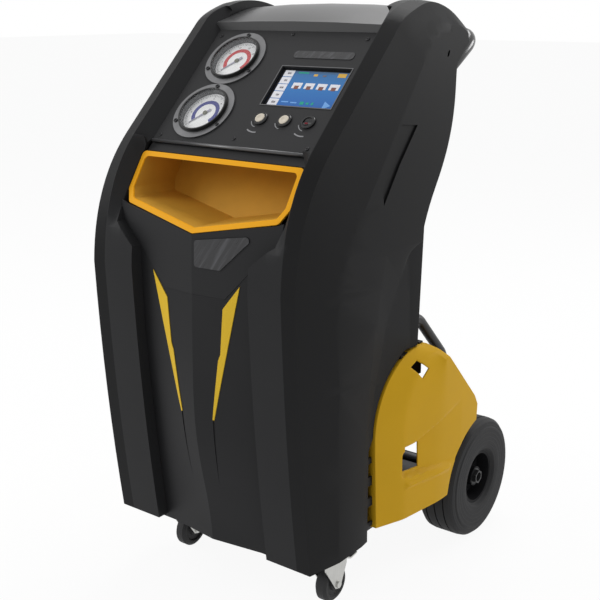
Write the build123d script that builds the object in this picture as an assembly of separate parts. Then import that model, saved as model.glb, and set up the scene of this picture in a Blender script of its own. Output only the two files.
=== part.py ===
from build123d import *
import math
import os

os.makedirs("parts", exist_ok=True)

# Every size is in millimetres. X runs to the right seen from the front, Y from front to back, Z up.
# Depths are measured back from the front foot of the flanks and moved to the middle on export.

# Driving sizes of the whole machine
front_to_middle = 318.0
side_half_width = 250.0
crease_half_width = 235.0
crest_half_width = 205.0
front_opening_half_width = 136.0
panel_half_width = 183.0
cover_foot_height = 132.0
fascia_seam_height = 622.0
moulding_wall = 3.5
side_wall = 6.0
return_depth = 28.0
front_step = 24.0
fit_gap = 0.4
seat_gap = 0.3

# Control panel slope
panel_slope = 44.16
panel_depth = 141.9
panel_height = 939.8
panel_low = -104.0
panel_high = 176.0
panel_thickness = 4.0
crest_rise = 26.0
crease_rise = 18.0

# Storage tray
tray_slope = 57.1
tray_foot_depth = -28.5
tray_foot_height = 730.0
tray_half_width = 186.5
tray_rim = 10.0
tray_wall = 2.5
tray_pocket_depth = 112.0
tray_flange = 3.0

# Gauges
gauge_x = -100.2
gauge_high_s = 102.3
gauge_low_s = -27.2
gauge_flange_radius = 64.5
gauge_case_radius = 50.0
gauge_case_depth = 38.0
gauge_dial_radius = 46.0
gauge_screw_circle = 58.0
gauge_screw_radius = 2.4
gauge_bezel_height = 9.0
gauge_lens_thickness = 2.0
needle_length = 36.0
needle_width = 3.0

# Display
display_x = 96.0
display_s = 44.2
display_width = 151.6
display_height = 89.4
display_recess = 3.0
display_frame = 7.0
display_case_depth = 26.0
glass_thickness = 1.6

# Round controls under the display
control_s = -34.8
button_places = [38.7, 91.9]
switch_place = 143.2
button_radius = 9.5
button_travel = 2.5
button_stand = 5.0
bezel_radius = 14.0
bezel_wall = 2.5
bezel_height = 4.0
control_case_depth = 24.0
key_length = 16.0
key_width = 5.0

# Rear wheels
wheel_depth = 550.0
wheel_radius = 130.0
wheel_width = 85.0
wheel_inner_face = 203.5
rim_radius = 58.0
rim_lip = 60.0
rim_web = 6.0
hub_radius = 21.0
axle_radius = 10.0
axle_clearance = 0.05
bearing_radius = 17.5
bearing_width = 12.0
tread_grooves = 3
tread_groove_depth = 3.5
tread_groove_width = 3.0
axle_end = 270.0
axle_nut_height = 8.0

# Front castors
castor_x = 182.0
castor_swivel_depth = 112.0
castor_trail = 27.5
castor_wheel_radius = 37.5
castor_wheel_width = 26.0
castor_fork_gap = 3.0
castor_fork_wall = 2.5
castor_plate = 62.0
castor_plate_thickness = 3.0
castor_head_radius = 21.0
castor_head_height = 9.0
castor_bolt_radius = 4.0
pedal_length = 46.0
pedal_width = 24.0
pedal_lift = 6.0

# Base tray and rear frame
base_height = 104.0
base_thickness = 2.5
base_half_width = 196.0
base_front_depth = 52.0
base_rear_depth = 604.0
base_front_half_width = 214.0
base_shoulder_depth = 150.0
base_flange = 26.0
frame_tube_radius = 11.0
frame_tube_x = 183.0
frame_tube_wall = 2.0
bracket_width = 36.0
bracket_thickness = 5.0

# Handle
handle_radius = 15.0
handle_wall = 2.0
handle_half_width = 205.0
handle_low = (430.0, 925.0)
handle_high = (585.0, 1072.0)
handle_bend = 48.0
clamp_size = 46.0
clamp_length = 30.0

# Wheel guards
guard_front_half_width = 250.0
guard_rear_half_width = 289.0
guard_wall = 3.0
guard_lip = 24.0
guard_bottom = 150.0
guard_flare_depth = 400.0
arch_radius = 152.0
guard_seam = 1.0

# Refrigerant tank and its scale
tank_depth = 385.0
tank_radius = 112.0
tank_foot_radius = 92.0
tank_foot_height = 24.0
tank_body_height = 250.0
tank_dome = 56.0
tank_collar_radius = 70.0
tank_collar_height = 46.0
scale_height = 14.0
scale_half_width = 96.0
load_cell_length = 130.0
load_cell_size = 22.0

# Rear panel and bay
bay_front_depth = 208.0
bay_roof_height = 486.0
sheet = 1.5

# Inner machinery
compressor_radius = 62.0
compressor_height = 150.0
pump_length = 170.0
pump_radius = 45.0
machine_plate_height = 500.0
fan_radius = 82.0
fan_blades = 6
condenser_width = 230.0
condenser_height = 190.0
condenser_thickness = 36.0
drier_radius = 32.0
drier_length = 150.0

# Smaller sizes
scoop_depth = 8.0
relief_depth = 3.0
accent_stand = 1.2
badge_stand = 2.0
badge_corner = 6.0
tray_corner_radius = 9.0
panel_rib_depth = 8.0
panel_rib_stop = 16.0
panel_skirt = 24.0
panel_screw_radius = 1.9
panel_screw_places = [(0, 168), (-170, 160), (170, 160), (-170, -90), (5, -83), (170, -90)]
gauge_flange_thickness = 3.0
gauge_case_wall = 2.5
gauge_dial_drop = 6.0
gauge_dial_thickness = 1.0
gauge_stub_radius = 7.0
gauge_stub_length = 14.0
needle_tail = 12.0
needle_thickness = 1.0
needle_hub_radius = 4.5
needle_shaft_radius = 1.5
needle_gap = 0.4
needle_rest = 225.0
label_width = 132.0
label_height = 17.0
label_s = 119.0
label_thickness = 1.0
bezel_block = 14.0
rocker_height = 9.0
rocker_rise = -1.0
rocker_tilt = 12.0
cover_lip = 18.0
cover_crown = 7.5
cover_sections = 5
vent_count = 9
vent_low = 515.0
vent_pitch = 16.0
vent_width = 190.0
vent_slot = 7.0
bay_inset = 4.0
frame_start_depth = 240.0
frame_bend_depth = 438.0
frame_knee_height = 388.0
frame_bend_radius = 48.0
block_top = 158.0
clamp_wall = 6.0
base_corner = 26.0
base_low_wall = 12.0
hub_half_length = 28.0
tread_pitch = 21.0
rim_holes = 6
rim_hole_radius = 7.0
kingpin_radius = 6.0
pedal_back = 22.0
pedal_pivot_height = 79.0
pedal_pin_radius = 3.0
guard_front_foot = 192.0
guard_front_top = (184.0, 300.0)
guard_top = 477.0
guard_inner = 226.0
guard_window = [(240, 325), (298, 308), (303, 232), (247, 252)]
guard_diamond = [(279, 456), (302, 465), (329, 441), (306, 428)]
clip_x = 238.0
foot_flange_half_width = 198.0
clip_thickness = 4.0
clip_places = [(292, 11), (250, 18), (207, 18), (160, 9)]
platform_thickness = 3.0
strap_width = 24.0
strap_height = 300.0
strap_arm_x = 60.0
condenser_rows = 10
condenser_pitch = 18.0
condenser_depth = 342.0
fan_depth = 30.0
fan_shaft_radius = 4.0
inlet_x = 150.0
inlet_height = 540.0
inlet_width = 30.0
inlet_tall = 21.0
port_places = [-160.0, -116.0]
port_radius = 8.0
port_height = 548.0
shell_screw_sink = 3.5
shell_screw = (415.0, 1024.0)
shell_screw_radius = 2.6
shell_screw_head = 5.0

# Working values
slope_rad = math.radians(panel_slope)
slope_cos = math.cos(slope_rad)
slope_sin = math.sin(slope_rad)
base_floor = base_height + base_thickness
axle_height = wheel_radius
wheel_middle = wheel_inner_face + wheel_width / 2

panel_plane = Plane(
    origin=(0, panel_depth, panel_height),
    x_dir=(1, 0, 0),
    z_dir=(0, -slope_sin, slope_cos),
)


def panel_point(s, rise):
    """Depth and height of a place s up the panel slope and rise above it."""
    depth = panel_depth + s * slope_cos - rise * slope_sin
    height = panel_height + s * slope_sin + rise * slope_cos
    return (depth, height)


def on_panel(x, s, rise=0.0):
    """Location on the control panel, with its own Z pointing out of the panel."""
    return panel_plane.location * Pos(x, s, rise)


def save(name, shape):
    """Moves a piece to the frame with the middle of the footprint at the origin and writes it."""
    placed = Pos(0, -front_to_middle, 0) * shape
    export_step(placed, f"parts/{name}.step")


def mirrored(shape):
    """The same piece on the left side."""
    return mirror(shape, about=Plane.YZ)


def save_pair(name, shape):
    """Writes the right piece and its mirror image."""
    save(f"{name}_right", shape)
    save(f"{name}_left", mirrored(shape))


def side_face(x, edges):
    """Face in the depth and height plane at distance x from the middle."""
    return Pos(x, 0, 0) * (Plane.YZ * make_face(edges))


def side_prism(x_from, x_to, points):
    """Prism of a depth and height polygon between two distances from the middle."""
    face = side_face(x_from, Polyline(*points, close=True))
    return extrude(face, x_to - x_from, dir=(1, 0, 0))


def front_prism(points, depth_from, depth_to):
    """Prism of a width and height polygon between two depths."""
    face = make_face(Polyline(*points, close=True))
    upright = Pos(0, depth_from, 0) * (Rot(90, 0, 0) * face)
    return extrude(upright, depth_to - depth_from, dir=(0, 1, 0))


def inset(points, distance):
    """Moves each corner of a closed outline inwards, square to both of its sides."""
    moved = []
    count = len(points)
    for i in range(count):
        before = Vector(*points[i - 1])
        here = Vector(*points[i])
        after = Vector(*points[(i + 1) % count])
        first = (here - before).normalized()
        second = (after - here).normalized()
        first_side = Vector(first.Y, -first.X)
        second_side = Vector(second.Y, -second.X)
        middle = (first_side + second_side).normalized()
        reach = distance / middle.dot(first_side)
        moved.append((here.X + middle.X * reach, here.Y + middle.Y * reach))
    return moved


# Side shells

def shell_points(foot, belly, knee, bend, shoulder, brow, crest, lobe):
    """Side outline of a shell, from its front foot over the top to its rear foot."""
    rear = [
        (lobe[1][0] - 39, lobe[1][1] - 37),
        (476, 918),
        (442, 822),
        (374, 712),
        (368, bay_roof_height - 4),
        (346, bay_roof_height - 5),
        (222, 441),
        (179, 338),
        (164, 318),
        (166, cover_foot_height),
    ]
    return [foot, belly, knee, bend, shoulder, brow] + crest + lobe + rear


def shell_edges(p):
    """Edges of a shell outline: arcs and curves where the moulding is round."""
    up_front = (p[3][0] - p[2][0], p[3][1] - p[2][1])
    slope_line = (p[5][0] - p[4][0], p[5][1] - p[4][1])
    edges = [
        ThreePointArc(p[0], p[1], p[2]),
        Spline(p[2], p[3], p[4], tangents=[(0.3 * up_front[0], up_front[1]), slope_line]),
        Line(p[4], p[5]),
        Spline(p[5], p[6], p[7], p[8], p[9], tangents=[slope_line, (0.85, -0.5)]),
        Line(p[9], p[10]),
        Line(p[10], p[11]),
        Spline(p[11], p[12], p[13], p[14], tangents=[(0, -1), (-0.4, -0.9)]),
        Line(p[14], p[15]),
        Line(p[15], p[16]),
        ThreePointArc(p[16], p[17], p[18]),
        Line(p[18], p[19]),
        Line(p[19], p[20]),
        Line(p[20], p[0]),
    ]
    return edges


crest_points = shell_points(
    foot=(0, cover_foot_height),
    belly=(-31, 420),
    knee=(-44, 651),
    bend=(-18, 785),
    shoulder=panel_point(panel_low, crest_rise),
    brow=panel_point(panel_high, crest_rise),
    crest=[(300, 1109), (365, 1119), (432, 1110)],
    lobe=[(521, 1066), (523, 1044)],
)
crease_points = shell_points(
    foot=(0, cover_foot_height),
    belly=(-31, 420),
    knee=(-44, 651),
    bend=(-12, 785),
    shoulder=panel_point(panel_low, crease_rise),
    brow=panel_point(panel_high, crease_rise),
    crest=[(297, 1099), (365, 1115), (432, 1107)],
    lobe=[(520, 1065), (522, 1044)],
)
face_points = shell_points(
    foot=(72, cover_foot_height),
    belly=(67, 400),
    knee=(63, 632),
    bend=(86, 700),
    shoulder=(128, 765),
    brow=(322, 1016),
    crest=[(350, 1046), (390, 1069), (440, 1074)],
    lobe=[(510, 1058), (516, 1042)],
)

opening_points = [
    (front_opening_half_width, cover_foot_height - 60),
    (front_opening_half_width, 690),
    (panel_half_width + 1, 732),
    (tray_half_width + 2, 766),
    (tray_half_width + 2, 858),
    (panel_half_width, 872),
    (panel_half_width, 1300),
]


def opening_outline(margin):
    """Front outline between the shells, widened by a margin."""
    right = [(x + margin, z) for x, z in opening_points]
    left = [(-x, z) for x, z in reversed(right)]
    return right + left


def make_side_shell():
    crest_face = side_face(crest_half_width, shell_edges(crest_points))
    crease_face = side_face(crease_half_width, shell_edges(crease_points))
    outer_face = side_face(side_half_width, shell_edges(face_points))
    body = extrude(crest_face, front_opening_half_width - crest_half_width, dir=(1, 0, 0))
    body += loft([crest_face, crease_face], ruled=True)
    body += loft([crease_face, outer_face], ruled=True)
    crest_inner = side_face(crest_half_width, shell_edges(inset(crest_points, moulding_wall)))
    crease_inner = side_face(crease_half_width, shell_edges(inset(crease_points, moulding_wall)))
    outer_inner = side_face(side_half_width - side_wall, shell_edges(inset(face_points, moulding_wall)))
    hollow = extrude(crest_inner, -crest_half_width, dir=(1, 0, 0))
    hollow += loft([crest_inner, crease_inner], ruled=True)
    hollow += loft([crease_inner, outer_inner], ruled=True)
    window = front_prism(opening_outline(0), -100, 700)
    groove = make_panel_channel(0)
    window_walled = front_prism(opening_outline(moulding_wall), -100, 700)
    groove_walled = make_panel_channel(moulding_wall)
    hollow -= window_walled + groove_walled
    return body - window - groove - hollow - make_core()


def make_core():
    """Space behind the return walls, open at the back."""
    front = inset(crest_points, return_depth)[:6]
    low = cover_foot_height + moulding_wall
    top_rear = (crest_points[9][0] - 12, crest_points[9][1] - return_depth)
    outline = [(front[0][0], low)] + front + [
        (crest_points[7][0], crest_points[7][1] - return_depth),
        top_rear,
        (top_rear[0], crest_points[11][1]),
        (top_rear[0] + 200, crest_points[11][1]),
        (top_rear[0] + 200, low),
    ]
    deep = [(depth, height - 60 if height == low else height) for depth, height in outline]
    core = side_prism(-1, crest_half_width + 15, outline)
    return core + side_prism(-1, foot_flange_half_width, deep)


def make_panel_channel(margin):
    """Trough between the pillars: its walls lean out from the panel to the crests."""
    lean = crest_half_width - panel_half_width
    half = [
        (panel_half_width + margin, -80),
        (panel_half_width + margin, 0),
        (panel_half_width + lean + margin, crest_rise),
        (panel_half_width + 2 * lean + margin, 2 * crest_rise),
    ]
    outline = half + [(-x, h) for x, h in reversed(half)]
    face = make_face(Polyline(*outline, close=True))
    start = Plane(
        origin=panel_plane.location.position + panel_plane.y_dir * (panel_low - 8),
        x_dir=(1, 0, 0),
        z_dir=panel_plane.y_dir,
    )
    length = panel_high - panel_low + 60
    return extrude(start * (mirror(face, about=Plane.XZ)), length, dir=tuple(panel_plane.y_dir))



def make_side_scoop():
    """Slanted hand recess in the side face, seen from the side."""
    outline = [(248, 908), (302, 903), (244, 838), (195, 772), (190, 801)]
    return side_prism(side_half_width - scoop_depth, side_half_width + 1, outline)


def make_side_relief():
    """Shallow facet that falls away behind the plain side strip."""
    rim = [
        (188, 702), (180, 642), (167, 571), (154, 462), (141, 350), (136, 200),
        (136, 80), (400, 80), (400, 690),
    ]
    floor = [
        (309, 672), (262, 625), (224, 565), (206, 508), (185, 441), (173, 378),
        (168, 200), (168, 80), (400, 80),
    ]
    rim_face = side_face(side_half_width + 1, Polyline(*rim, close=True))
    floor_face = side_face(side_half_width - relief_depth, Polyline(*floor, close=True))
    return loft([rim_face, floor_face], ruled=True)


def finish_side_shell():
    scoop = make_side_scoop()
    pad_plate = side_prism(side_half_width - side_wall - scoop_depth, side_half_width - side_wall,
                           [(240, 918), (316, 911), (252, 826), (188, 752), (180, 803)])
    shell = make_side_shell() + pad_plate - scoop - make_side_relief()
    sunk = Pos(side_half_width, shell_screw[0], shell_screw[1]) * (Rot(0, 90, 0) * Cylinder(
        shell_screw_head + 1, 2 * shell_screw_sink))
    through = Pos(side_half_width, shell_screw[0], shell_screw[1]) * (Rot(0, 90, 0) * Cylinder(
        shell_screw_radius, 4 * side_wall))
    return shell - sunk - through


# Front panel and fascia

front_sections = [
    (cover_foot_height - 5, 6, 24),
    (213, -5, 14),
    (280, -19, 6.5),
    (344, -30, 0),
    (462, -36, -11),
    (560, -34, -17),
    (640, -31, -19),
    (700, -29.5, -18.5),
]
fascia_sections = [
    (600, -32.5, -15),
    (735, -28.5, -12),
    (800, -24, -8),
]
slash_points = [(102, 649), (66, 604), (59, 520), (54, 508), (37, 392), (40, 391)]
seam_points = [(70, fascia_seam_height), (104, 657), (front_opening_half_width, 690)]
badge_points = [(7, 672), (7, 719), (134, 739), (62, 672)]


def prow(sections, half_width, forward):
    """Shallow V shaped sheet, lofted through its level sections, moved forward."""
    faces = []
    for height, ridge, edge in sections:
        outline = Polyline(
            (-half_width, edge - forward),
            (0, ridge - forward),
            (half_width, edge - forward),
            (half_width, edge - forward + moulding_wall),
            (0, ridge - forward + moulding_wall),
            (-half_width, edge - forward + moulding_wall),
            close=True,
        )
        faces.append(Pos(0, 0, height) * make_face(outline))
    return loft(faces)


def both_sides(points):
    """Closed outline from its right half."""
    return points + [(-x, z) for x, z in reversed(points)]


def slash_prism(margin):
    """Slash inlay seen from the front, grown by a margin."""
    face = offset(make_face(Polyline(*slash_points, close=True)), margin, kind=Kind.INTERSECTION)
    return extrude(Pos(0, -120, 0) * (Rot(90, 0, 0) * face), 240, dir=(0, 1, 0))


def make_front_panel():
    half_width = front_opening_half_width - fit_gap
    panel = prow(front_sections, half_width, 0)
    above = both_sides([(x, z - fit_gap) for x, z in seam_points] + [(front_opening_half_width, 800)])
    panel -= front_prism(above, -100, 100)
    slot = slash_prism(fit_gap / 2)
    groove = front_prism([(36.5, 391), (40.5, 391), (33, 250)], -100, 100)
    groove &= prow(front_sections, half_width, moulding_wall / 2)
    cuts = slot + groove
    return panel - cuts - mirrored(cuts)


def make_accent():
    return prow(front_sections, front_opening_half_width, accent_stand) & slash_prism(0)


def make_fascia():
    side = [(x - fit_gap, z) for x, z in opening_points[2:4]]
    tilt = math.radians(tray_slope)
    below = tray_foot_height - tray_flange * math.cos(tilt) - seat_gap
    tray_edge = [(tray_corner[0], below + tray_corner[1] * math.sin(tilt)), (0, below)]
    region = seam_points[:2] + [(front_opening_half_width - fit_gap, 690)] + side + tray_edge
    raw = prow(fascia_sections, 190, 0)
    right = raw & front_prism([(0, fascia_seam_height)] + region, -100, 100)
    return right + mirrored(right)


def make_badge():
    outline = make_face(Polyline(*badge_points, close=True))
    outline = fillet(outline.vertices(), badge_corner)
    plate = extrude(Pos(0, -100, 0) * (Rot(90, 0, 0) * outline), 200, dir=(0, 1, 0))
    raised = prow(fascia_sections, 190, badge_stand) & plate
    return raised - prow(fascia_sections, 190, seat_gap / 2)


# Storage tray

tray_plane = Plane(
    origin=(0, tray_foot_depth, tray_foot_height),
    x_dir=(1, 0, 0),
    z_dir=(0, -math.sin(math.radians(tray_slope)), math.cos(math.radians(tray_slope))),
)
tray_corner = (173, 39)
tray_side_low = 66.0
tray_top = 143.0


def tray_outline(margin):
    """Mouth of the tray in its own slanted plane, made smaller by a margin."""
    half = [(0, 0), tray_corner, (tray_half_width, tray_side_low), (tray_half_width, tray_top)]
    outline = half + [(-x, s) for x, s in reversed(half[1:])]
    face = make_face(Polyline(*outline, close=True))
    if margin > 0:
        face = offset(face, -margin, kind=Kind.INTERSECTION)
    return fillet(face.vertices().filter_by(lambda v: abs(v.X) > 1), tray_corner_radius)


def make_tray():
    flange = extrude(tray_plane * tray_outline(0), -tray_flange)
    box = extrude(tray_plane * tray_outline(tray_rim - tray_wall), tray_pocket_depth, dir=(0, 1, 0))
    pocket = extrude(
        Pos(0, -10, 0) * (tray_plane * tray_outline(tray_rim)),
        tray_pocket_depth + 10 - tray_wall,
        dir=(0, 1, 0),
    )
    return flange + box - pocket


# Control panel and what it carries

gauge_places = [("high", gauge_high_s), ("low", gauge_low_s)]
screw_angles = [90, 210, 330]


def panel_hole(x, s, radius):
    return on_panel(x, s, -panel_thickness / 2) * Cylinder(radius, 4 * panel_thickness)


def gauge_screw_places(s):
    """Places of the three flange screws of one gauge, on the panel."""
    places = []
    for angle in screw_angles:
        turn = math.radians(angle)
        x = gauge_x + gauge_screw_circle * math.cos(turn)
        places.append((x, s + gauge_screw_circle * math.sin(turn)))
    return places


def make_control_panel():
    width = 2 * (panel_half_width - fit_gap)
    length = panel_high - panel_low
    middle = (panel_high + panel_low) / 2
    plate = on_panel(0, middle, -panel_thickness / 2) * Box(width, length, panel_thickness)
    rib_length = length - panel_rib_stop
    rib_box = Box(width, rib_length, panel_rib_depth)
    rib_gap = Box(width - 2 * moulding_wall, rib_length - 2 * moulding_wall, 2 * panel_rib_depth)
    rib_rise = -panel_thickness - panel_rib_depth / 2
    rib = on_panel(0, middle - panel_rib_stop / 2, rib_rise) * (rib_box - rib_gap)
    skirt_middle = panel_low - panel_skirt / 2 + moulding_wall
    skirt = on_panel(0, skirt_middle, -panel_thickness - moulding_wall / 2) * Box(
        width, panel_skirt, moulding_wall)
    panel = plate + rib + skirt
    window = Box(display_width, display_height, 6 * panel_thickness)
    panel -= on_panel(display_x, display_s) * window
    for _, s in gauge_places:
        panel -= panel_hole(gauge_x, s, gauge_case_radius + fit_gap)
        for x, screw_s in gauge_screw_places(s):
            panel -= panel_hole(x, screw_s, gauge_screw_radius)
    for x in button_places + [switch_place]:
        panel -= panel_hole(x, control_s, button_radius + bezel_wall + fit_gap)
    for x, s in panel_screw_places:
        panel -= panel_hole(x, s, panel_screw_radius)
    return panel


def make_screw(radius, head_radius, head_height, length):
    """Cross recessed screw with its head seat at the origin, pointing down."""
    head = Pos(0, 0, head_height / 2) * Cylinder(head_radius, head_height)
    head = fillet(head.edges().group_by(Axis.Z)[-1], head_height * 0.4)
    shank = Pos(0, 0, -length / 2) * Cylinder(radius - 0.1, length)
    slot = Box(head_radius * 1.3, head_radius * 0.28, head_height)
    recess = Pos(0, 0, head_height) * (slot + Rot(0, 0, 90) * slot)
    return head + shank - recess


def make_gauge_case(s):
    depth = gauge_case_depth
    cup = Pos(0, 0, (gauge_bezel_height - depth) / 2) * Cylinder(
        gauge_case_radius, gauge_bezel_height + depth)
    flange = Pos(0, 0, gauge_flange_thickness / 2) * Cylinder(gauge_flange_radius, gauge_flange_thickness)
    inner = Cylinder(gauge_case_radius - gauge_case_wall, depth + gauge_bezel_height)
    inner = Pos(0, 0, (gauge_bezel_height - depth) / 2 + gauge_case_wall) * inner
    ledge_height = depth - gauge_dial_drop - gauge_case_wall
    ledge = Pos(0, 0, -depth + gauge_case_wall + ledge_height / 2) * (
        Cylinder(gauge_case_radius, ledge_height) - Cylinder(gauge_dial_radius - 4, ledge_height))
    stub = Pos(0, 0, -depth - gauge_stub_length / 2) * Cylinder(gauge_stub_radius, gauge_stub_length)
    case = cup + flange - inner + ledge + stub
    for angle in screw_angles:
        case -= Rot(0, 0, angle) * Pos(gauge_screw_circle, 0, 0) * Cylinder(gauge_screw_radius, 20)
    return on_panel(gauge_x, s) * case


def make_gauge_dial(s):
    dial = Cylinder(gauge_dial_radius, gauge_dial_thickness) - Cylinder(
        needle_shaft_radius + axle_clearance, 4)
    return on_panel(gauge_x, s, -gauge_dial_drop + gauge_dial_thickness / 2) * dial


def make_gauge_lens(s):
    radius = gauge_case_radius - gauge_case_wall
    lens = Cylinder(radius, gauge_lens_thickness)
    return on_panel(gauge_x, s, gauge_bezel_height - gauge_lens_thickness) * lens


def make_needle(s, angle):
    """Pointer that turns on its shaft over the dial."""
    blade = make_face(Polyline(
        (-needle_tail, -needle_width),
        (needle_length, -needle_width / 6),
        (needle_length, needle_width / 6),
        (-needle_tail, needle_width),
        close=True,
    ))
    pointer = extrude(blade, needle_thickness)
    hub = Pos(0, 0, needle_thickness) * Cylinder(needle_hub_radius, 2 * needle_thickness)
    shaft = Pos(0, 0, -2 * gauge_dial_thickness) * Cylinder(needle_shaft_radius, 4 * gauge_dial_thickness)
    needle = pointer + hub + shaft
    rise = -gauge_dial_drop + gauge_dial_thickness + needle_gap
    return on_panel(gauge_x, s, rise) * Rot(0, 0, angle) * needle


def make_display_housing():
    width = display_width + 2 * display_frame
    height = display_height + 2 * display_frame
    box = Pos(0, 0, -panel_thickness - display_case_depth / 2) * Box(width, height, display_case_depth)
    seat = Pos(0, 0, -panel_thickness - (glass_thickness + seat_gap) / 2) * Box(
        display_width + display_frame, display_height + display_frame, glass_thickness + seat_gap)
    chamber = Pos(0, 0, -panel_thickness - display_case_depth / 2) * Box(
        display_width - display_frame, display_height - display_frame, display_case_depth - 6)
    return on_panel(display_x, display_s) * (box - seat - chamber)


def make_display_glass():
    width = display_width + display_frame - fit_gap
    height = display_height + display_frame - fit_gap
    glass = Box(width, height, glass_thickness)
    rise = -panel_thickness - seat_gap - glass_thickness / 2
    return on_panel(display_x, display_s, rise) * glass


def make_label_plate():
    blank = RectangleRounded(label_width, label_height, label_height / 2 - 1)
    return on_panel(display_x, label_s) * extrude(blank, label_thickness)


def make_bezel(x):
    """Round control bezel with its contact block behind the panel."""
    sleeve_radius = button_radius + bezel_wall
    flange = Pos(0, 0, bezel_height / 2) * Cylinder(bezel_radius, bezel_height)
    flange = chamfer(flange.edges().group_by(Axis.Z)[-1], bezel_height / 3)
    sleeve = Pos(0, 0, -control_case_depth / 2) * Cylinder(sleeve_radius, control_case_depth)
    block = Pos(0, 0, -control_case_depth - bezel_block / 2) * Box(
        2 * sleeve_radius, 2 * sleeve_radius, bezel_block)
    bore = Cylinder(button_radius + axle_clearance, 2 * control_case_depth)
    return on_panel(x, control_s) * (flange + sleeve - bore + block)


def make_button(x):
    length = button_stand + control_case_depth - button_travel - 2 * seat_gap
    cap = Pos(0, 0, button_stand - length / 2) * Cylinder(button_radius, length)
    cap = fillet(cap.edges().group_by(Axis.Z)[-1], 1.2)
    dish = Pos(0, 0, button_stand + 2 * button_radius - 0.8) * Sphere(2 * button_radius)
    return on_panel(x, control_s) * (cap - dish)


def make_rocker():
    """Round rocker, two faces meeting in a shallow valley over its pivot."""
    radius = button_radius - 0.5
    body = Cylinder(radius, rocker_height)
    wedge = Pos(0, 0, rocker_height / 2 + rocker_height) * Box(4 * radius, 4 * radius, 2 * rocker_height)
    valley = Rot(rocker_tilt, 0, 0) * (Pos(0, 2 * radius, -1.5) * wedge)
    valley += Rot(-rocker_tilt, 0, 0) * (Pos(0, -2 * radius, -1.5) * wedge)
    return on_panel(switch_place, control_s, rocker_rise) * Rot(-rocker_tilt / 2, 0, 0) * (body - valley)


# Top cover and rear panel

def cover_edges(drop, margin):
    """Side outline of the top cover; drop lowers it towards the pillars."""
    front = panel_point(panel_high, 0)
    points = inset([
        (front[0], front[1] + seat_gap),
        (front[0] - 2, front[1] + cover_lip - drop / 2),
        (338, 1106 - drop),
        (400, 1112 - drop),
        (462, 1094 - drop),
        (502, 1062 - drop),
        (484, 997),
    ], margin)
    return [
        Line(points[0], points[1]),
        Spline(points[1], points[2], points[3], points[4], points[5]),
        Line(points[5], points[6]),
        Line(points[6], points[0]),
    ]


def crowned(half_width, margin):
    """Top cover outline carried across the machine, higher in the middle than at the sides."""
    faces = []
    for i in range(cover_sections):
        share = 2 * i / (cover_sections - 1) - 1
        faces.append(side_face(half_width * share, cover_edges(cover_crown * share * share, margin)))
    return loft(faces, ruled=True)


def make_top_cover():
    half_width = panel_half_width - fit_gap
    outer = crowned(half_width, 0)
    inner = crowned(half_width - moulding_wall, moulding_wall)
    inner += Pos(0, 0, -2 * moulding_wall) * inner
    return outer - inner


def frame_tube_path():
    """Centre line of the bent rear frame tube, from the bay roof to the axle block."""
    height = bay_roof_height + sheet + frame_tube_radius + seat_gap
    x = frame_tube_x
    return FilletPolyline(
        (x, frame_start_depth, height),
        (x, frame_bend_depth, height),
        (x, wheel_depth, frame_knee_height),
        (x, wheel_depth, block_top),
        radius=frame_bend_radius,
    )


def tube(path, radius, wall):
    """Round tube along a path."""
    start = Plane(origin=path @ 0, z_dir=path % 0)
    ring = Circle(radius)
    if wall > 0:
        ring = ring - Circle(radius - wall)
    return sweep(start * ring, path=path)


def handle_path():
    x = handle_half_width
    return FilletPolyline(
        (x, handle_low[0], handle_low[1]),
        (x, handle_high[0], handle_high[1]),
        (-x, handle_high[0], handle_high[1]),
        (-x, handle_low[0], handle_low[1]),
        radius=handle_bend,
    )


def make_rear_panel():
    half_width = crest_half_width + 14
    bay_half_width = base_half_width - base_thickness - fit_gap
    bay_wall = side_prism(-bay_half_width, bay_half_width, [
        (bay_front_depth, base_floor + seat_gap),
        (bay_front_depth + sheet, base_floor + seat_gap),
        (bay_front_depth + sheet, bay_roof_height + sheet),
        (bay_front_depth, bay_roof_height + sheet),
    ])
    roof = side_prism(-half_width + bay_inset, half_width - bay_inset, [
        (bay_front_depth, bay_roof_height),
        (368, bay_roof_height),
        (368, bay_roof_height + sheet),
        (bay_front_depth, bay_roof_height + sheet),
    ])
    back_line = [
        (368, bay_roof_height),
        (368, 620),
        (374, 712),
        (408, 764),
        (442, 822),
        (462, 868),
        (476, 918),
        (479, 995),
    ]
    front_line = [(depth - sheet, height) for depth, height in reversed(back_line)]
    back = side_prism(-half_width, half_width, back_line + front_line)
    panel = bay_wall + roof + back
    for i in range(vent_count):
        height = vent_low + i * vent_pitch
        panel -= Pos(0, 370, height) * Box(vent_width, 40, vent_slot)
    clearance = tube(frame_tube_path(), frame_tube_radius + 1, 0)
    panel -= clearance + mirrored(clearance)
    panel -= tube(handle_path(), handle_radius + 1, 0)
    panel -= Pos(inlet_x, 368, inlet_height) * Box(inlet_width + 2 * seat_gap, 20, inlet_tall + 2 * seat_gap)
    for x in port_places:
        panel -= Pos(x, 368, port_height) * (Rot(90, 0, 0) * Cylinder(port_radius + seat_gap, 20))
    return panel


def make_handle_clamp():
    """Block on the inside of a shell that grips the end of the handle."""
    run = (handle_high[0] - handle_low[0], handle_high[1] - handle_low[1])
    tilt = math.degrees(math.atan2(run[1], run[0]))
    outer_face = side_half_width - side_wall - seat_gap
    inner_face = handle_half_width - handle_radius - clamp_wall
    width = outer_face - inner_face
    block = Box(width, clamp_length, clamp_size)
    block = Pos((outer_face + inner_face) / 2, clamp_length / 2 + 2, 0) * block
    bore = Pos(handle_half_width, 0, 0) * (Rot(90, 0, 0) * Cylinder(handle_radius + axle_clearance, 300))
    return Pos(0, handle_low[0], handle_low[1]) * (Rot(tilt, 0, 0) * (block - bore))


# Base tray, frame, axle and rear wheels

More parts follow.
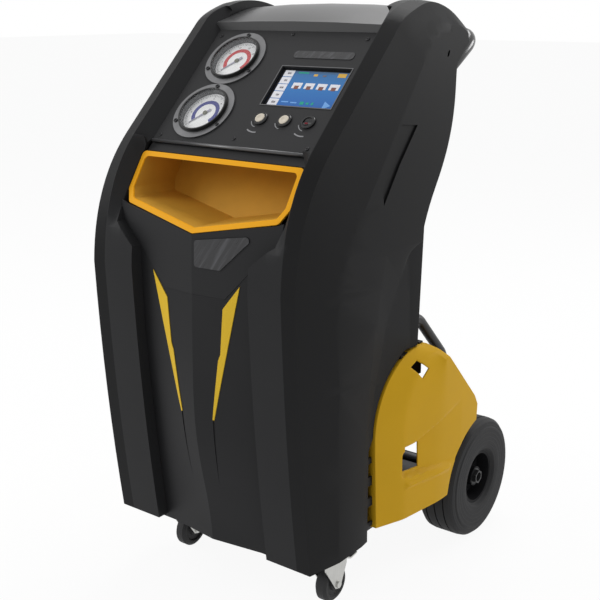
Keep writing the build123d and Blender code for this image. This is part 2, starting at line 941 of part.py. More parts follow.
def make_base_tray():
    right = [
        (base_front_half_width - base_corner, base_front_depth),
        (base_front_half_width, base_front_depth + base_corner),
        (base_front_half_width, base_shoulder_depth),
        (base_half_width, base_shoulder_depth + 30),
        (base_half_width, base_rear_depth),
    ]
    outline = make_face(Polyline(*both_sides(right), close=True))
    wall_height = cover_foot_height - base_height - seat_gap
    tray = Pos(0, 0, base_height) * extrude(outline, wall_height)
    inner = offset(outline, -base_thickness, kind=Kind.INTERSECTION)
    tray -= Pos(0, 0, base_floor) * extrude(inner, 100)
    low_wall = base_height + base_low_wall
    cut = Box(500, 90, 60)
    tray -= Pos(0, wheel_depth, low_wall + 30) * cut
    tray -= Pos(0, base_rear_depth, low_wall + 30) * Box(2 * base_half_width + 10, 60, 60)
    return tray


def make_axle_blocks():
    inner = frame_tube_x - frame_tube_radius
    outer = base_half_width - base_thickness - seat_gap
    height = block_top - base_floor - seat_gap
    block = Pos((inner + outer) / 2, wheel_depth, block_top - height / 2) * Box(
        outer - inner, bracket_width, height)
    block -= Pos(0, wheel_depth, axle_height) * (Rot(0, 90, 0) * Cylinder(axle_radius, 1000))
    return block + mirrored(block)


def axle_rod(x_from, x_to, radius):
    """Round bar along the axle line."""
    bar = Cylinder(radius, x_to - x_from)
    return Pos((x_from + x_to) / 2, wheel_depth, axle_height) * (Rot(0, 90, 0) * bar)


def make_axle():
    hub_inner = wheel_middle - hub_half_length
    collar = axle_rod(base_half_width + seat_gap, hub_inner - seat_gap, axle_radius + 4)
    rod = axle_rod(-axle_end, axle_end, axle_radius)
    return rod + collar + mirrored(collar)


def make_axle_nuts():
    hub_outer = wheel_middle + hub_half_length + seat_gap
    hexagon = RegularPolygon(axle_radius * 1.5, 6)
    nut = extrude(hexagon, axle_nut_height) - Cylinder(axle_radius, 4 * axle_nut_height)
    nut = Pos(hub_outer, wheel_depth, axle_height) * (Rot(0, 90, 0) * nut)
    return [nut, mirrored(nut)]


def wheel_part(profile):
    """Ring turned about the axle line; the profile gives distance from the wheel middle and radius."""
    face = make_face(Polyline(*profile, close=True))
    ring = revolve(face, Axis.X)
    return Pos(wheel_middle, wheel_depth, axle_height) * ring


def make_tyre():
    half = wheel_width / 2
    right = [
        (half - 9, rim_radius),
        (half - 1.5, rim_radius + 7),
        (half, rim_radius + 18),
        (half, wheel_radius - 20),
        (half - 2, wheel_radius - 17),
        (half - 3, wheel_radius - 8),
        (half - 10, wheel_radius - 1.5),
    ]
    crown = []
    for i in range(tread_grooves):
        middle = (tread_grooves - 1) / 2
        x = (middle - i) * tread_pitch
        crown += [
            (x + tread_groove_width / 2, wheel_radius),
            (x + tread_groove_width / 2, wheel_radius - tread_groove_depth),
            (x - tread_groove_width / 2, wheel_radius - tread_groove_depth),
            (x - tread_groove_width / 2, wheel_radius),
        ]
    left = [(-x, r) for x, r in reversed(right)]
    return wheel_part(right + crown + left)


def make_rim():
    half = wheel_width / 2
    barrel = [
        (-half + 9, rim_radius),
        (half - 9, rim_radius),
        (half - 9, rim_radius - rim_web),
        (rim_web, rim_radius - rim_web - 3),
        (rim_web, hub_radius),
        (hub_half_length, hub_radius),
        (hub_half_length, bearing_radius),
        (hub_half_length - bearing_width, bearing_radius),
        (hub_half_length - bearing_width, axle_radius + 2),
        (-hub_half_length + bearing_width, axle_radius + 2),
        (-hub_half_length + bearing_width, bearing_radius),
        (-hub_half_length, bearing_radius),
        (-hub_half_length, hub_radius),
        (-rim_web, hub_radius),
        (-rim_web, rim_radius - rim_web - 3),
        (-half + 9, rim_radius - rim_web),
    ]
    rim = wheel_part(barrel)
    for i in range(rim_holes):
        hole = Rot(0, 90, 0) * Cylinder(rim_hole_radius, 60)
        hole = Rot(360 / rim_holes * i, 0, 0) * (Pos(0, 0, (hub_radius + rim_radius - rim_web) / 2) * hole)
        rim -= Pos(wheel_middle, wheel_depth, axle_height) * hole
    return rim


def make_bearings():
    outer = hub_half_length
    inner = hub_half_length - bearing_width
    ring = [(inner, axle_radius + axle_clearance), (outer, axle_radius + axle_clearance),
            (outer, bearing_radius), (inner, bearing_radius)]
    far = [(-x, r) for x, r in ring]
    return wheel_part(ring) + wheel_part(far)


# Front castors

castor_spot = Pos(castor_x, castor_swivel_depth, 0)
castor_top = base_height - castor_plate_thickness
castor_fork_top = castor_top - castor_head_height


def make_castor_plates():
    plate = Pos(0, 0, castor_top + castor_plate_thickness / 2) * Box(
        castor_plate, castor_plate, castor_plate_thickness)
    head = Pos(0, 0, castor_top - castor_head_height / 2) * Cylinder(castor_head_radius, castor_head_height)
    pin_length = castor_head_height + castor_fork_wall + 9
    pin = Pos(0, 0, castor_top - pin_length / 2) * Cylinder(kingpin_radius, pin_length)
    nut_top = castor_fork_top - 2 * seat_gap - castor_fork_wall
    nut = extrude(RegularPolygon(kingpin_radius + 4, 6), -5)
    solid = plate + head + pin + Pos(0, 0, nut_top) * nut
    placed = castor_spot * solid
    return placed + mirrored(placed)


def make_castor_fork():
    inner = castor_wheel_width / 2 + castor_fork_gap
    top = castor_fork_top - seat_gap
    crown = Pos(0, 0, top - castor_fork_wall / 2) * Cylinder(castor_head_radius + 1, castor_fork_wall)
    side = side_prism(inner, inner + castor_fork_wall, [
        (-14, top),
        (-14, top - 10),
        (castor_trail - 9, castor_wheel_radius - 6),
        (castor_trail, castor_wheel_radius - 9),
        (castor_trail + 9, castor_wheel_radius - 6),
        (castor_trail + pedal_back + 6, pedal_pivot_height - 6),
        (castor_trail + pedal_back + 6, top),
    ])
    bridge = Pos(0, castor_trail / 2 + 8, top - castor_fork_wall / 2) * Box(
        2 * inner + 2 * castor_fork_wall, castor_trail + 26, castor_fork_wall)
    fork = crown + bridge + side + mirrored(side)
    fork -= Pos(0, 0, top) * Cylinder(kingpin_radius + axle_clearance, 60)
    span = 2 * (inner + castor_fork_wall)
    bolt = Rot(0, 90, 0) * Cylinder(castor_bolt_radius, span + 6)
    head = Pos(span / 2 + 1.5, 0, 0) * (Rot(0, 90, 0) * Cylinder(castor_bolt_radius + 3, 3))
    bolt = bolt + head + mirrored(head)
    fork += Pos(0, castor_trail, castor_wheel_radius) * bolt
    rod = Rot(0, 90, 0) * Cylinder(pedal_pin_radius, span)
    fork += Pos(0, castor_trail + pedal_back, pedal_pivot_height) * rod
    return castor_spot * fork


def make_castor_wheel():
    half = castor_wheel_width / 2
    face = make_face(Polyline(
        (-half, castor_bolt_radius + axle_clearance),
        (half, castor_bolt_radius + axle_clearance),
        (half, 13),
        (half - 4, 15),
        (half - 4, 24),
        (half, 27),
        (half, castor_wheel_radius - 6),
        (half - 5, castor_wheel_radius),
        (-half + 5, castor_wheel_radius),
        (-half, castor_wheel_radius - 6),
        (-half, 27),
        (-half + 4, 24),
        (-half + 4, 15),
        (-half, 13),
        close=True,
    ))
    wheel = revolve(face, Axis.X)
    return castor_spot * (Pos(0, castor_trail, castor_wheel_radius) * wheel)


def make_castor_pedal():
    """Brake lever that pivots on the fork behind the wheel."""
    width = castor_wheel_width + 2 * castor_fork_gap - 2 * seat_gap - 1
    eye = Rot(0, 90, 0) * (Cylinder(pedal_pin_radius + 3, width))
    arm = side_prism(-width / 2, width / 2, [
        (2, 5.5),
        (2, 2),
        (pedal_length * 0.55, -9),
        (pedal_length, -6),
        (pedal_length + 1, -3),
        (pedal_length * 0.55, -5.5),
    ])
    bore = Rot(0, 90, 0) * Cylinder(pedal_pin_radius + axle_clearance, width + 2)
    pedal = eye + arm - bore
    return castor_spot * (Pos(0, castor_trail + pedal_back, pedal_pivot_height) * pedal)


# Wheel guards

def guard_edges(margin):
    points = inset([
        (guard_front_foot, guard_bottom),
        guard_front_top,
        (183, 335),
        (226, 437),
        (346, guard_top),
        (361, guard_top),
        (500, 335),
        (514, 312),
        (wheel_depth - 38, axle_height + 147.2),
        (438.8, 233.7),
        (wheel_depth - 149.4, axle_height + 28),
        (wheel_depth - 152, guard_bottom),
    ], margin)
    p = points
    return [
        Line(p[0], p[1]),
        Line(p[1], p[2]),
        ThreePointArc(p[2], p[3], p[4]),
        Line(p[4], p[5]),
        Line(p[5], p[6]),
        Line(p[6], p[7]),
        Line(p[7], p[8]),
        ThreePointArc(p[8], p[9], p[10]),
        Line(p[10], p[11]),
        Line(p[11], p[0]),
    ]


def guard_plan(margin, x_from):
    """Plan of the flared guard: from the shell's side out to the tyre's outer face."""
    outer = ThreePointArc(
        (guard_front_half_width - margin, 170),
        ((guard_front_half_width + guard_rear_half_width) / 2 + 4 - margin, 290),
        (guard_rear_half_width - margin, guard_flare_depth),
    )
    rest = Polyline(
        (guard_rear_half_width - margin, guard_flare_depth),
        (guard_rear_half_width - margin, 560),
        (x_from, 560),
        (x_from, 170),
        (guard_front_half_width - margin, 170),
    )
    return extrude(make_face([outer, rest]), 600)


def guard_bevel(margin):
    """Half space above the slanted upper facet of the guard."""
    first = Vector(guard_rear_half_width - margin, 364, 446 - margin)
    along = Vector(0, 148, -151).normalized()
    across = (Vector(guard_front_half_width, 361, 477) - Vector(guard_rear_half_width, 364, 446)).normalized()
    normal = along.cross(across).normalized()
    if normal.X < 0:
        normal = normal * -1
    plane = Plane(origin=first, x_dir=along, z_dir=normal)
    return extrude(plane * Rectangle(800, 400), 120)


def make_guard():
    outer = extrude(side_face(guard_inner, guard_edges(0)), 70, dir=(1, 0, 0))
    outer = (outer & guard_plan(0, guard_inner - 20)) - guard_bevel(0)
    inner = extrude(side_face(guard_inner - 10, guard_edges(guard_wall)), 90, dir=(1, 0, 0))
    inner = (inner & guard_plan(guard_wall, guard_inner - 20)) - guard_bevel(guard_wall)
    guard = outer - inner
    guard -= side_prism(200, 300, guard_window)
    guard -= side_prism(200, 300, guard_diamond)
    return guard


def line_depth(low, high, height):
    """Depth at a height on the straight line between two points."""
    share = (height - low[1]) / (high[1] - low[1])
    return low[0] + share * (high[0] - low[0])


def make_guard_clips():
    """Short fingers that bridge the seam between a shell and its guard, and the pads above."""
    clips = []
    shell_low = crest_points[-1]
    shell_high = crest_points[-2]
    for height, size in clip_places:
        corners = []
        for z in (height - size / 2, height + size / 2):
            front = line_depth(shell_low, shell_high, z) + seat_gap
            rear = line_depth((guard_front_foot, guard_bottom), guard_front_top, z) - seat_gap
            corners += [(front, z), (rear, z)]
        outline = [corners[0], corners[1], corners[3], corners[2]]
        clips.append(side_prism(clip_x, clip_x + clip_thickness, outline))
    clips.append(side_prism(guard_inner + 2, clip_x + clip_thickness, [
        (347, guard_top + seat_gap),
        (360, guard_top + seat_gap),
        (360, crest_points[-6][1] - 1 - seat_gap),
        (347, crest_points[-6][1] - 1 - seat_gap),
    ]))
    return Compound(clips + [mirrored(clip) for clip in clips])


# Refrigerant tank on its scale

scale_top = base_floor + load_cell_size + platform_thickness


def make_tank():
    foot = scale_top + seat_gap
    body_low = foot + tank_foot_height
    body_high = body_low + tank_body_height
    upper = (tank_radius, body_high - tank_dome)
    lower = (tank_radius, body_low + tank_dome - 12)
    half = make_face([
        Line((0, body_low - 12), (0, body_high)),
        Line((0, body_high), (30, body_high - 1)),
        ThreePointArc((30, body_high - 1), (tank_radius - 22, body_high - 22), upper),
        Line(upper, lower),
        ThreePointArc(lower, (tank_radius - 22, body_low + 8), (30, body_low - 11)),
        Line((30, body_low - 11), (0, body_low - 12)),
    ])
    body = revolve(Plane.XZ * half, Axis.Z)
    ring = Pos(0, 0, foot + (tank_foot_height + 14) / 2) * (
        Cylinder(tank_foot_radius, tank_foot_height + 14) - Cylinder(tank_foot_radius - 4, 100))
    collar = Pos(0, 0, body_high - 10 + tank_collar_height / 2) * (
        Cylinder(tank_collar_radius, tank_collar_height) - Cylinder(tank_collar_radius - 4, 100))
    collar -= Pos(0, 0, body_high + 18) * Box(200, 60, 22)
    return Pos(0, tank_depth, 0) * (body + ring + collar)


def make_tank_valve():
    top = scale_top + seat_gap + tank_foot_height + tank_body_height
    stem = Pos(0, 0, top + 15) * Cylinder(9, 30)
    outlet = Pos(0, 0, top + 16) * (Rot(0, 90, 0) * Cylinder(6, 50))
    wheel = Pos(0, 0, top + 33) * Cylinder(20, 6)
    return Pos(0, tank_depth, 0) * (stem + outlet + wheel)


def make_platform():
    plate = Pos(0, tank_depth, scale_top - platform_thickness / 2) * Box(
        2 * scale_half_width, 2 * scale_half_width, platform_thickness)
    return plate


def make_load_cell():
    bar = Pos(0, tank_depth, base_floor + load_cell_size / 2) * Box(
        load_cell_length, load_cell_size * 1.4, load_cell_size)
    hole = Rot(90, 0, 0) * Cylinder(load_cell_size * 0.28, 100)
    for shift in (-10, 10):
        bar -= Pos(shift, tank_depth, base_floor + load_cell_size / 2) * hole
    return bar


def make_tank_strap():
    ring = Cylinder(tank_radius + 3, strap_width) - Cylinder(tank_radius + seat_gap, 2 * strap_width)
    length = tank_depth - bay_front_depth - sheet - seat_gap
    arms = Box(2 * strap_arm_x, length, strap_width) - Box(2 * strap_arm_x - 6, 4 * length, 2 * strap_width)
    arms = Pos(0, -length / 2, 0) * arms
    arms -= Cylinder(tank_radius + seat_gap, 2 * strap_width)
    return Pos(0, tank_depth, strap_height) * (ring + arms)


# Inner machinery

def make_compressor():
    low = base_floor + seat_gap
    body = Cylinder(compressor_radius, compressor_height - 20)
    body = fillet(body.edges().filter_by(GeomType.CIRCLE), 22)
    body = Pos(0, 0, low + 20 + (compressor_height - 20) / 2) * body
    foot = Pos(0, 0, low + 10) * (Box(116, 60, 4))
    pads = Compound([Pos(x, y, low + 4) * Cylinder(9, 8) for x in (-46, 46) for y in (-20, 20)])
    neck = Pos(0, 0, low + 18) * Cylinder(34, 20)
    outlet = Pos(0, 0, low + compressor_height + 8) * Cylinder(7, 18)
    return Pos(-78, 136, 0) * (body + foot + neck + outlet + pads)


def make_vacuum_pump():
    low = base_floor + seat_gap
    body = Rot(0, 90, 0) * Cylinder(pump_radius, pump_length)
    fins = Compound([
        Pos(x, 0, 0) * (Rot(0, 90, 0) * Cylinder(pump_radius + 5, 3)) for x in range(-60, 1, 12)
    ])
    lifted = Pos(0, 0, low + pump_radius + 16) * (body + fins)
    feet = Pos(0, 0, low + 14) * (Box(pump_length - 30, 70, 28) - Pos(0, 0, -10) * Box(60, 200, 20))
    return Pos(92, 136, 0) * (lifted + feet)


def make_condenser():
    low = bay_roof_height + sheet + seat_gap
    core = Box(condenser_width, condenser_thickness, condenser_height)
    for i in range(condenser_rows):
        height = (i - (condenser_rows - 1) / 2) * condenser_pitch
        core -= Pos(0, 0, height) * Box(condenser_width - 24, condenser_thickness + 2, condenser_pitch * 0.55)
    return Pos(0, condenser_depth, low + condenser_height / 2) * core


fan_height = bay_roof_height + sheet + seat_gap + condenser_height / 2
fan_front = condenser_depth - condenser_thickness / 2


def make_fan_shroud():
    size = 2 * fan_radius + 16
    plate = Box(size, fan_depth, size) - Rot(90, 0, 0) * Cylinder(fan_radius + 3, 2 * fan_depth)
    motor = Pos(0, -fan_depth / 2 - 10, 0) * (Rot(90, 0, 0) * Cylinder(20, 24))
    arm = Pos(0, -fan_depth / 2 - 2, 0) * Box(size, 4, 10)
    spider = arm + Rot(0, 90, 0) * arm
    shaft = Rot(90, 0, 0) * Cylinder(fan_shaft_radius, fan_depth)
    return Pos(0, fan_front - fan_depth / 2, fan_height) * (plate + motor + spider + shaft)


def make_fan():
    hub = Rot(90, 0, 0) * (Cylinder(20, fan_depth - 12) - Cylinder(fan_shaft_radius + axle_clearance, 50))
    blade = Pos(0, 0, (fan_radius + 16) / 2) * (Rot(0, 0, 32) * Box(26, 2.5, fan_radius - 16))
    fan = hub
    for i in range(fan_blades):
        fan += Rot(0, 360 / fan_blades * i, 0) * blade
    fan -= Rot(90, 0, 0) * Cylinder(fan_shaft_radius + axle_clearance, 50)
    return Pos(0, fan_front - fan_depth / 2 + 2, fan_height) * fan


def make_drier():
    low = bay_roof_height + sheet + seat_gap
    body = Rot(0, 90, 0) * Cylinder(drier_radius, drier_length)
    body = fillet(body.edges().filter_by(GeomType.CIRCLE), 12)
    ports = Rot(0, 90, 0) * Cylinder(7, drier_length + 36)
    cradle = Pos(0, 0, -drier_radius + 4) * Box(drier_length * 0.5, 40, 14)
    placed = Pos(0, 0, low + drier_radius + 3) * (body + ports + cradle)
    return Pos(60, 246, 0) * placed


def make_manifold():
    length = gauge_high_s - gauge_low_s + 60
    block = Box(70, length, 26)
    middle = (gauge_high_s + gauge_low_s) / 2
    rise = -gauge_case_depth - gauge_stub_length - 13
    ports = Compound([Pos(0, s, -13 - 8) * Cylinder(8, 16) for s in (-60, -20, 20, 60)])
    return on_panel(gauge_x, middle, rise) * (block + ports)


def make_power_inlet():
    flange = Pos(inlet_x, 368 + 1.5, inlet_height) * Box(inlet_width + 20, 3, inlet_tall + 3)
    body = Pos(inlet_x, 368 - 12, inlet_height) * Box(inlet_width, 24, inlet_tall)
    return flange + body - Pos(inlet_x, 371, inlet_height) * Box(24, 30, 15)


def make_hose_ports():
    ports = []
    for x in port_places:
        shape = Cylinder(port_radius, 26) + Pos(0, 0, -6) * extrude(RegularPolygon(13, 6), 7)
        shape -= Pos(0, 0, 6) * Cylinder(4, 30)
        ports.append(Pos(x, 368 + 8, port_height) * (Rot(-90, 0, 0) * shape))
    return Compound(ports)


def make_shell_screws():
    """Screws that hold the shells to the handle clamps, seen on the sides."""
    screw = make_screw(shell_screw_radius, shell_screw_head, 2.2, 8)
    placed = Pos(side_half_width - shell_screw_sink, shell_screw[0], shell_screw[1]) * (Rot(0, 90, 0) * screw)
    return [placed, mirrored(placed)]


def make_panel_screws():
    screws = []
    for x, s in panel_screw_places:
        screws.append(on_panel(x, s) * make_screw(panel_screw_radius, 3.6, 1.8, 9))
    return screws


def make_gauge_screws():
    screws = []
    for _, s in gauge_places:
        for x, screw_s in gauge_screw_places(s):
            place = on_panel(x, screw_s, gauge_flange_thickness)
            screws.append(place * make_screw(gauge_screw_radius, 4.2, 2.2, 11))
    return screws


# Pieces

base_tray = make_base_tray()
save("base_tray", base_tray)
save_pair("side_shell", finish_side_shell())
save("front_panel", make_front_panel())
save("front_fascia", make_fascia())
save("slash_inlays", Compound([make_accent(), mirrored(make_accent())]))
save("blank_plates", Compound([make_badge(), make_label_plate()]))
save("storage_tray", make_tray())
save("control_panel", make_control_panel())
save("top_cover", make_top_cover())
save("rear_panel", make_rear_panel())
for side, place in gauge_places:
    save(f"gauge_case_{side}", make_gauge_case(place))
    save(f"gauge_needle_{side}", make_needle(place, needle_rest))
save("gauge_dials", Compound([make_gauge_dial(place) for _, place in gauge_places]))
save("gauge_lenses", Compound([make_gauge_lens(place) for _, place in gauge_places]))
save("display_housing", make_display_housing())
save("display_glass", make_display_glass())
save("control_bezels", Compound([make_bezel(x) for x in button_places + [switch_place]]))
save("button_first", make_button(button_places[0]))
save("button_second", make_button(button_places[1]))
save("power_rocker", make_rocker())
save("handle_tube", tube(handle_path(), handle_radius, handle_wall))
save("handle_clamps", Compound([make_handle_clamp(), mirrored(make_handle_clamp())]))
frame_tube = tube(frame_tube_path(), frame_tube_radius, frame_tube_wall)
save("frame_tubes", Compound([frame_tube, mirrored(frame_tube)]))
save("axle_blocks", make_axle_blocks())
save("axle", Compound([make_axle()] + make_axle_nuts()))
save_pair("wheel_tyre", make_tyre())
save_pair("wheel_rim", make_rim())
save_pair("wheel_bearings", make_bearings())
save("castor_plates", make_castor_plates())
save_pair("castor_fork", make_castor_fork())
save_pair("castor_wheel", make_castor_wheel())
save_pair("castor_pedal", make_castor_pedal())
save_pair("wheel_guard", make_guard())
save("guard_clips", make_guard_clips())
save("refrigerant_tank", make_tank())
save("tank_valve", make_tank_valve())
save("tank_platform", make_platform())
save("load_cell", make_load_cell())
save("tank_strap", make_tank_strap())
save("compressor", make_compressor())
save("vacuum_pump", make_vacuum_pump())
save("condenser", make_condenser())
save("fan_shroud", make_fan_shroud())
save("cooling_fan", make_fan())
save("filter_drier", make_drier())
save("manifold_block", make_manifold())
save("power_inlet", make_power_inlet())
save("hose_ports", make_hose_ports())
save("cover_screws", Compound(make_shell_screws() + make_panel_screws() + make_gauge_screws()))
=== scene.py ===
import math

import bmesh
import bpy
from mathutils import Matrix, Vector


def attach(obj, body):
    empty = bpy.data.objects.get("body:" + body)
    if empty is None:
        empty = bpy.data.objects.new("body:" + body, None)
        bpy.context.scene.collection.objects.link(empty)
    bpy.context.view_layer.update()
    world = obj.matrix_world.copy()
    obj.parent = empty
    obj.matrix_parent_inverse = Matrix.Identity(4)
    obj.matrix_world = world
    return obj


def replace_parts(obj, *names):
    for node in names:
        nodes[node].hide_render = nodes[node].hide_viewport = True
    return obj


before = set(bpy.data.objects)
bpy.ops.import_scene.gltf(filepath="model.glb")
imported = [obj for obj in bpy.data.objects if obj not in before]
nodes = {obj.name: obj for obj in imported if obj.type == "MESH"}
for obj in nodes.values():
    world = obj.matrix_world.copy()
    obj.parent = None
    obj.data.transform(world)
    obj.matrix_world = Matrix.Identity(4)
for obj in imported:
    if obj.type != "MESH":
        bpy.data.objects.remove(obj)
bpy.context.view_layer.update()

# camera, placed by a perspective fit
cameraSet = {
    "spot": (1.2068, -1.6431, 1.110),
    "azimuth": 36.87,
    "pitch": 15.85,
    "lens": 62.4,
    "sensor": 36.0,
}


def newObject(name, data):
    made = bpy.data.objects.new(name, data)
    bpy.context.scene.collection.objects.link(made)
    return made


def addCamera(settings):
    data = bpy.data.cameras.new("studioCamera")
    data.lens = settings["lens"]
    data.sensor_width = settings["sensor"]
    data.clip_start = 0.05
    data.clip_end = 60
    camera = newObject("studioCamera", data)
    camera.location = settings["spot"]
    tilt = math.radians(90 - settings["pitch"])
    camera.rotation_euler = (tilt, 0, math.radians(settings["azimuth"]))
    bpy.context.scene.camera = camera


addCamera(cameraSet)
bpy.context.scene.view_settings.view_transform = "Standard"
print("camera placed")


# shader wiring
class Wire:
    def __init__(self, finish, socket):
        self.finish = finish
        self.socket = socket

    def maths(self, operation, first, second):
        return self.finish.node("ShaderNodeMath", {"operation": operation}, [first, second])

    def __add__(self, other):
        return self.maths("ADD", self, other)

    def __radd__(self, other):
        return self.maths("ADD", other, self)

    def __sub__(self, other):
        return self.maths("SUBTRACT", self, other)

    def __rsub__(self, other):
        return self.maths("SUBTRACT", other, self)

    def __mul__(self, other):
        return self.maths("MULTIPLY", self, other)

    def __rmul__(self, other):
        return self.maths("MULTIPLY", other, self)

    def __pow__(self, other):
        return self.maths("POWER", self, other)

    def __gt__(self, other):
        return self.maths("GREATER_THAN", self, other)

    def __lt__(self, other):
        return self.maths("LESS_THAN", self, other)

    def through(self, operation):
        return self.finish.node("ShaderNodeMath", {"operation": operation}, [self])

    def capped(self):
        return self.finish.node("ShaderNodeClamp", {}, [self])


class Finish:
    def __init__(self, name, fixed):
        self.material = bpy.data.materials.new(name)
        self.material.use_nodes = True
        self.tree = self.material.node_tree
        self.shader = self.tree.nodes["Principled BSDF"]
        for socket, value in fixed.items():
            self.shader.inputs[socket].default_value = value
        self.coords = self.node("ShaderNodeTexCoord", {}, [], "Object")

    def node(self, kind, settings, inputs, output=0):
        made = self.tree.nodes.new(kind)
        for setting, value in settings.items():
            if setting == "stops":
                self.paintStops(made.color_ramp, value)
            else:
                setattr(made, setting, value)
        pairs = inputs.items() if isinstance(inputs, dict) else enumerate(inputs)
        for key, value in pairs:
            if isinstance(value, Wire):
                self.tree.links.new(value.socket, made.inputs[key])
            else:
                made.inputs[key].default_value = value
        return Wire(self, made.outputs[output])

    def paintStops(self, ramp, stops):
        while len(ramp.elements) > 1:
            ramp.elements.remove(ramp.elements[-1])
        ramp.elements[0].position, ramp.elements[0].color = stops[0][0], stops[0][1]
        for position, colour in stops[1:]:
            ramp.elements.new(position).color = colour

    def mapped(self, scale, vector=None):
        return self.node("ShaderNodeMapping", {}, {"Vector": vector or self.coords, "Scale": scale})

    def noise(self, scale, detail=3.0, vector=None):
        inputs = {"Vector": vector or self.coords, "Scale": scale, "Detail": detail}
        return self.node("ShaderNodeTexNoise", {}, inputs, "Fac")

    def cells(self, scale):
        inputs = {"Vector": self.coords, "Scale": scale}
        return self.node("ShaderNodeTexVoronoi", {"feature": "F1"}, inputs, "Distance")

    def axes(self, vector=None):
        split = self.tree.nodes.new("ShaderNodeSeparateXYZ")
        self.tree.links.new((vector or self.coords).socket, split.inputs[0])
        return [Wire(self, output) for output in split.outputs]

    def around(self, centre, slope=0.0):  # coordinates from a centre, laid back by a slope
        moved = self.node("ShaderNodeVectorMath", {"operation": "SUBTRACT"}, [self.coords, centre])
        settings = {"rotation_type": "X_AXIS"}
        return self.node("ShaderNodeVectorRotate", settings, {"Vector": moved, "Angle": -slope})

    def reach(self, centre, slope):  # distance from the axis of a round piece on the panel
        across, along = self.axes(self.around(centre, slope))[:2]
        return (across * across + along * along) ** 0.5

    def blend(self, factor, first, second):
        inputs = {0: factor, 6: paint(first), 7: paint(second)}
        return self.node("ShaderNodeMix", {"data_type": "RGBA"}, inputs, 2)

    def ramp(self, value, stops):
        return self.node("ShaderNodeValToRGB", {"stops": stops}, [value])

    def bump(self, height, distance, strength=1.0, under=None):
        inputs = {"Strength": strength, "Distance": distance, "Height": height}
        if under:
            inputs["Normal"] = under
        return self.node("ShaderNodeBump", {}, inputs)

    def feed(self, **links):
        sockets = {"colour": "Base Color", "rough": "Roughness", "normal": "Normal",
                   "metal": "Metallic", "glow": "Emission Color", "clear": "Alpha"}
        for key, wire in links.items():
            self.tree.links.new(wire.socket, self.shader.inputs[sockets[key]])
        return self.material


def paint(colour):
    if isinstance(colour, Wire) or len(colour) == 4:
        return colour
    return (*colour, 1.0)


def shade(colour, factor):
    return tuple(min(1.0, channel * factor) for channel in colour)


# moulded plastics, with a fine leather grain
mouldedSet = {"spread": 0.12, "grainScale": 900, "pitScale": 720, "speck": 0.25, "speckTone": 1.35}


def mouldedTone(made, colour, spread=mouldedSet["spread"], grainScale=mouldedSet["grainScale"]):
    cloud = made.noise(5, 2)
    fine = made.noise(grainScale, 2)
    tone = made.blend(cloud, shade(colour, 1 - spread), shade(colour, 1 + spread))
    return made.blend(fine * mouldedSet["speck"], tone, shade(colour, mouldedSet["speckTone"]))


def leatherGrain(made, depth):
    fine = made.noise(mouldedSet["grainScale"], 2)
    return made.bump(fine * 0.5 + made.cells(mouldedSet["pitScale"]), depth, 0.5)


def mouldedFinish(name, colour, rough=0.46, grain=0.00009, specular=0.2):
    made = Finish(name, {"Specular IOR Level": specular})
    cloud = made.noise(5, 2)
    tone = mouldedTone(made, colour)
    relief = leatherGrain(made, grain)
    return made.feed(colour=tone, rough=rough - 0.04 + cloud * 0.08, normal=relief)


# the side shells: the strip along the front crest painted paler as painted light, the flanks painted darker
# as painted shade
def shellFinish(name, settings):
    made = Finish(name, {"Specular IOR Level": 0.075})
    side = made.axes()[0].through("ABSOLUTE")
    front = ((settings["edge"] - side) * settings["crisp"]).capped()
    cloud = made.noise(5, 2)
    tone = made.blend(front, mouldedTone(made, settings["shadedFlank"]), mouldedTone(made, settings["crest"]))
    relief = leatherGrain(made, settings["grain"])
    return made.feed(colour=tone, rough=0.42 + cloud * 0.08, normal=relief)


# the tray: clean bright lip; down in the pocket the colour is painted darker as painted shade, with a dusty
# cloud, and duller
def trayFinish(name, settings):
    made = Finish(name, {"Specular IOR Level": 0.06})
    rise = made.axes(made.around(settings["centre"], math.radians(settings["slope"])))[2]
    # below the lip the pocket is painted darker: painted shade
    inside = ((rise + settings["lip"]) * -settings["crisp"]).capped()
    dust = made.noise(18, 4)
    pocket = made.blend(dust, shade(settings["pocket"], 0.85), shade(settings["pocket"], 1.15))
    tone = made.blend(inside, mouldedTone(made, settings["edge"], 0.03, 700), pocket)
    relief = made.bump(made.noise(800, 2), 0.00003, 0.5)
    return made.feed(colour=tone, rough=0.4 + inside * 0.12, normal=relief)


# gauge body: brushed ring outside; inside, the well painted black as painted shade on its inner wall
def gaugeFinish(name, centre, slope, settings):
    made = Finish(name, {"Specular IOR Level": 0.4})
    radius = made.reach(centre, slope)
    ring = ((radius - settings["well"]) * settings["crisp"]).capped()
    lathe = (radius * settings["lathe"]).through("SINE")
    cloud = made.noise(30, 3)
    metal = made.blend(cloud, shade(settings["metal"], 0.75), shade(settings["metal"], 1.25))
    tone = made.blend(ring, settings["wellShade"], metal)
    relief = made.bump(lathe, 0.00002, 0.4)
    rough = 0.34 - ring * 0.06 + cloud * 0.1
    return made.feed(colour=tone, rough=rough, metal=ring * 0.85, normal=relief)


# pointer: pale blade, olive hub
def needleFinish(name, centre, slope, settings):
    made = Finish(name, {"Specular IOR Level": 0.4})
    radius = made.reach(centre, slope)
    blade = ((radius - settings["hub"]) * settings["crisp"]).capped()
    grainy = made.noise(400, 2)
    pale = made.blend(grainy, shade(settings["pale"], 0.9), settings["pale"])
    tone = made.blend(blade, settings["olive"], pale)
    return made.feed(colour=tone, rough=0.35 + grainy * 0.1)


# gloss plates: diagonal streaks painted lighter as a painted sheen, with a faint brushed bump, under clear
# lacquer
plateSet = {
    "colour": (0.020, 0.020, 0.022),
    "turn": 0.95,
    "stretch": (9, 60, 190),
    "contrast": 3.2,
    "paintedSheen": 4.5,
}


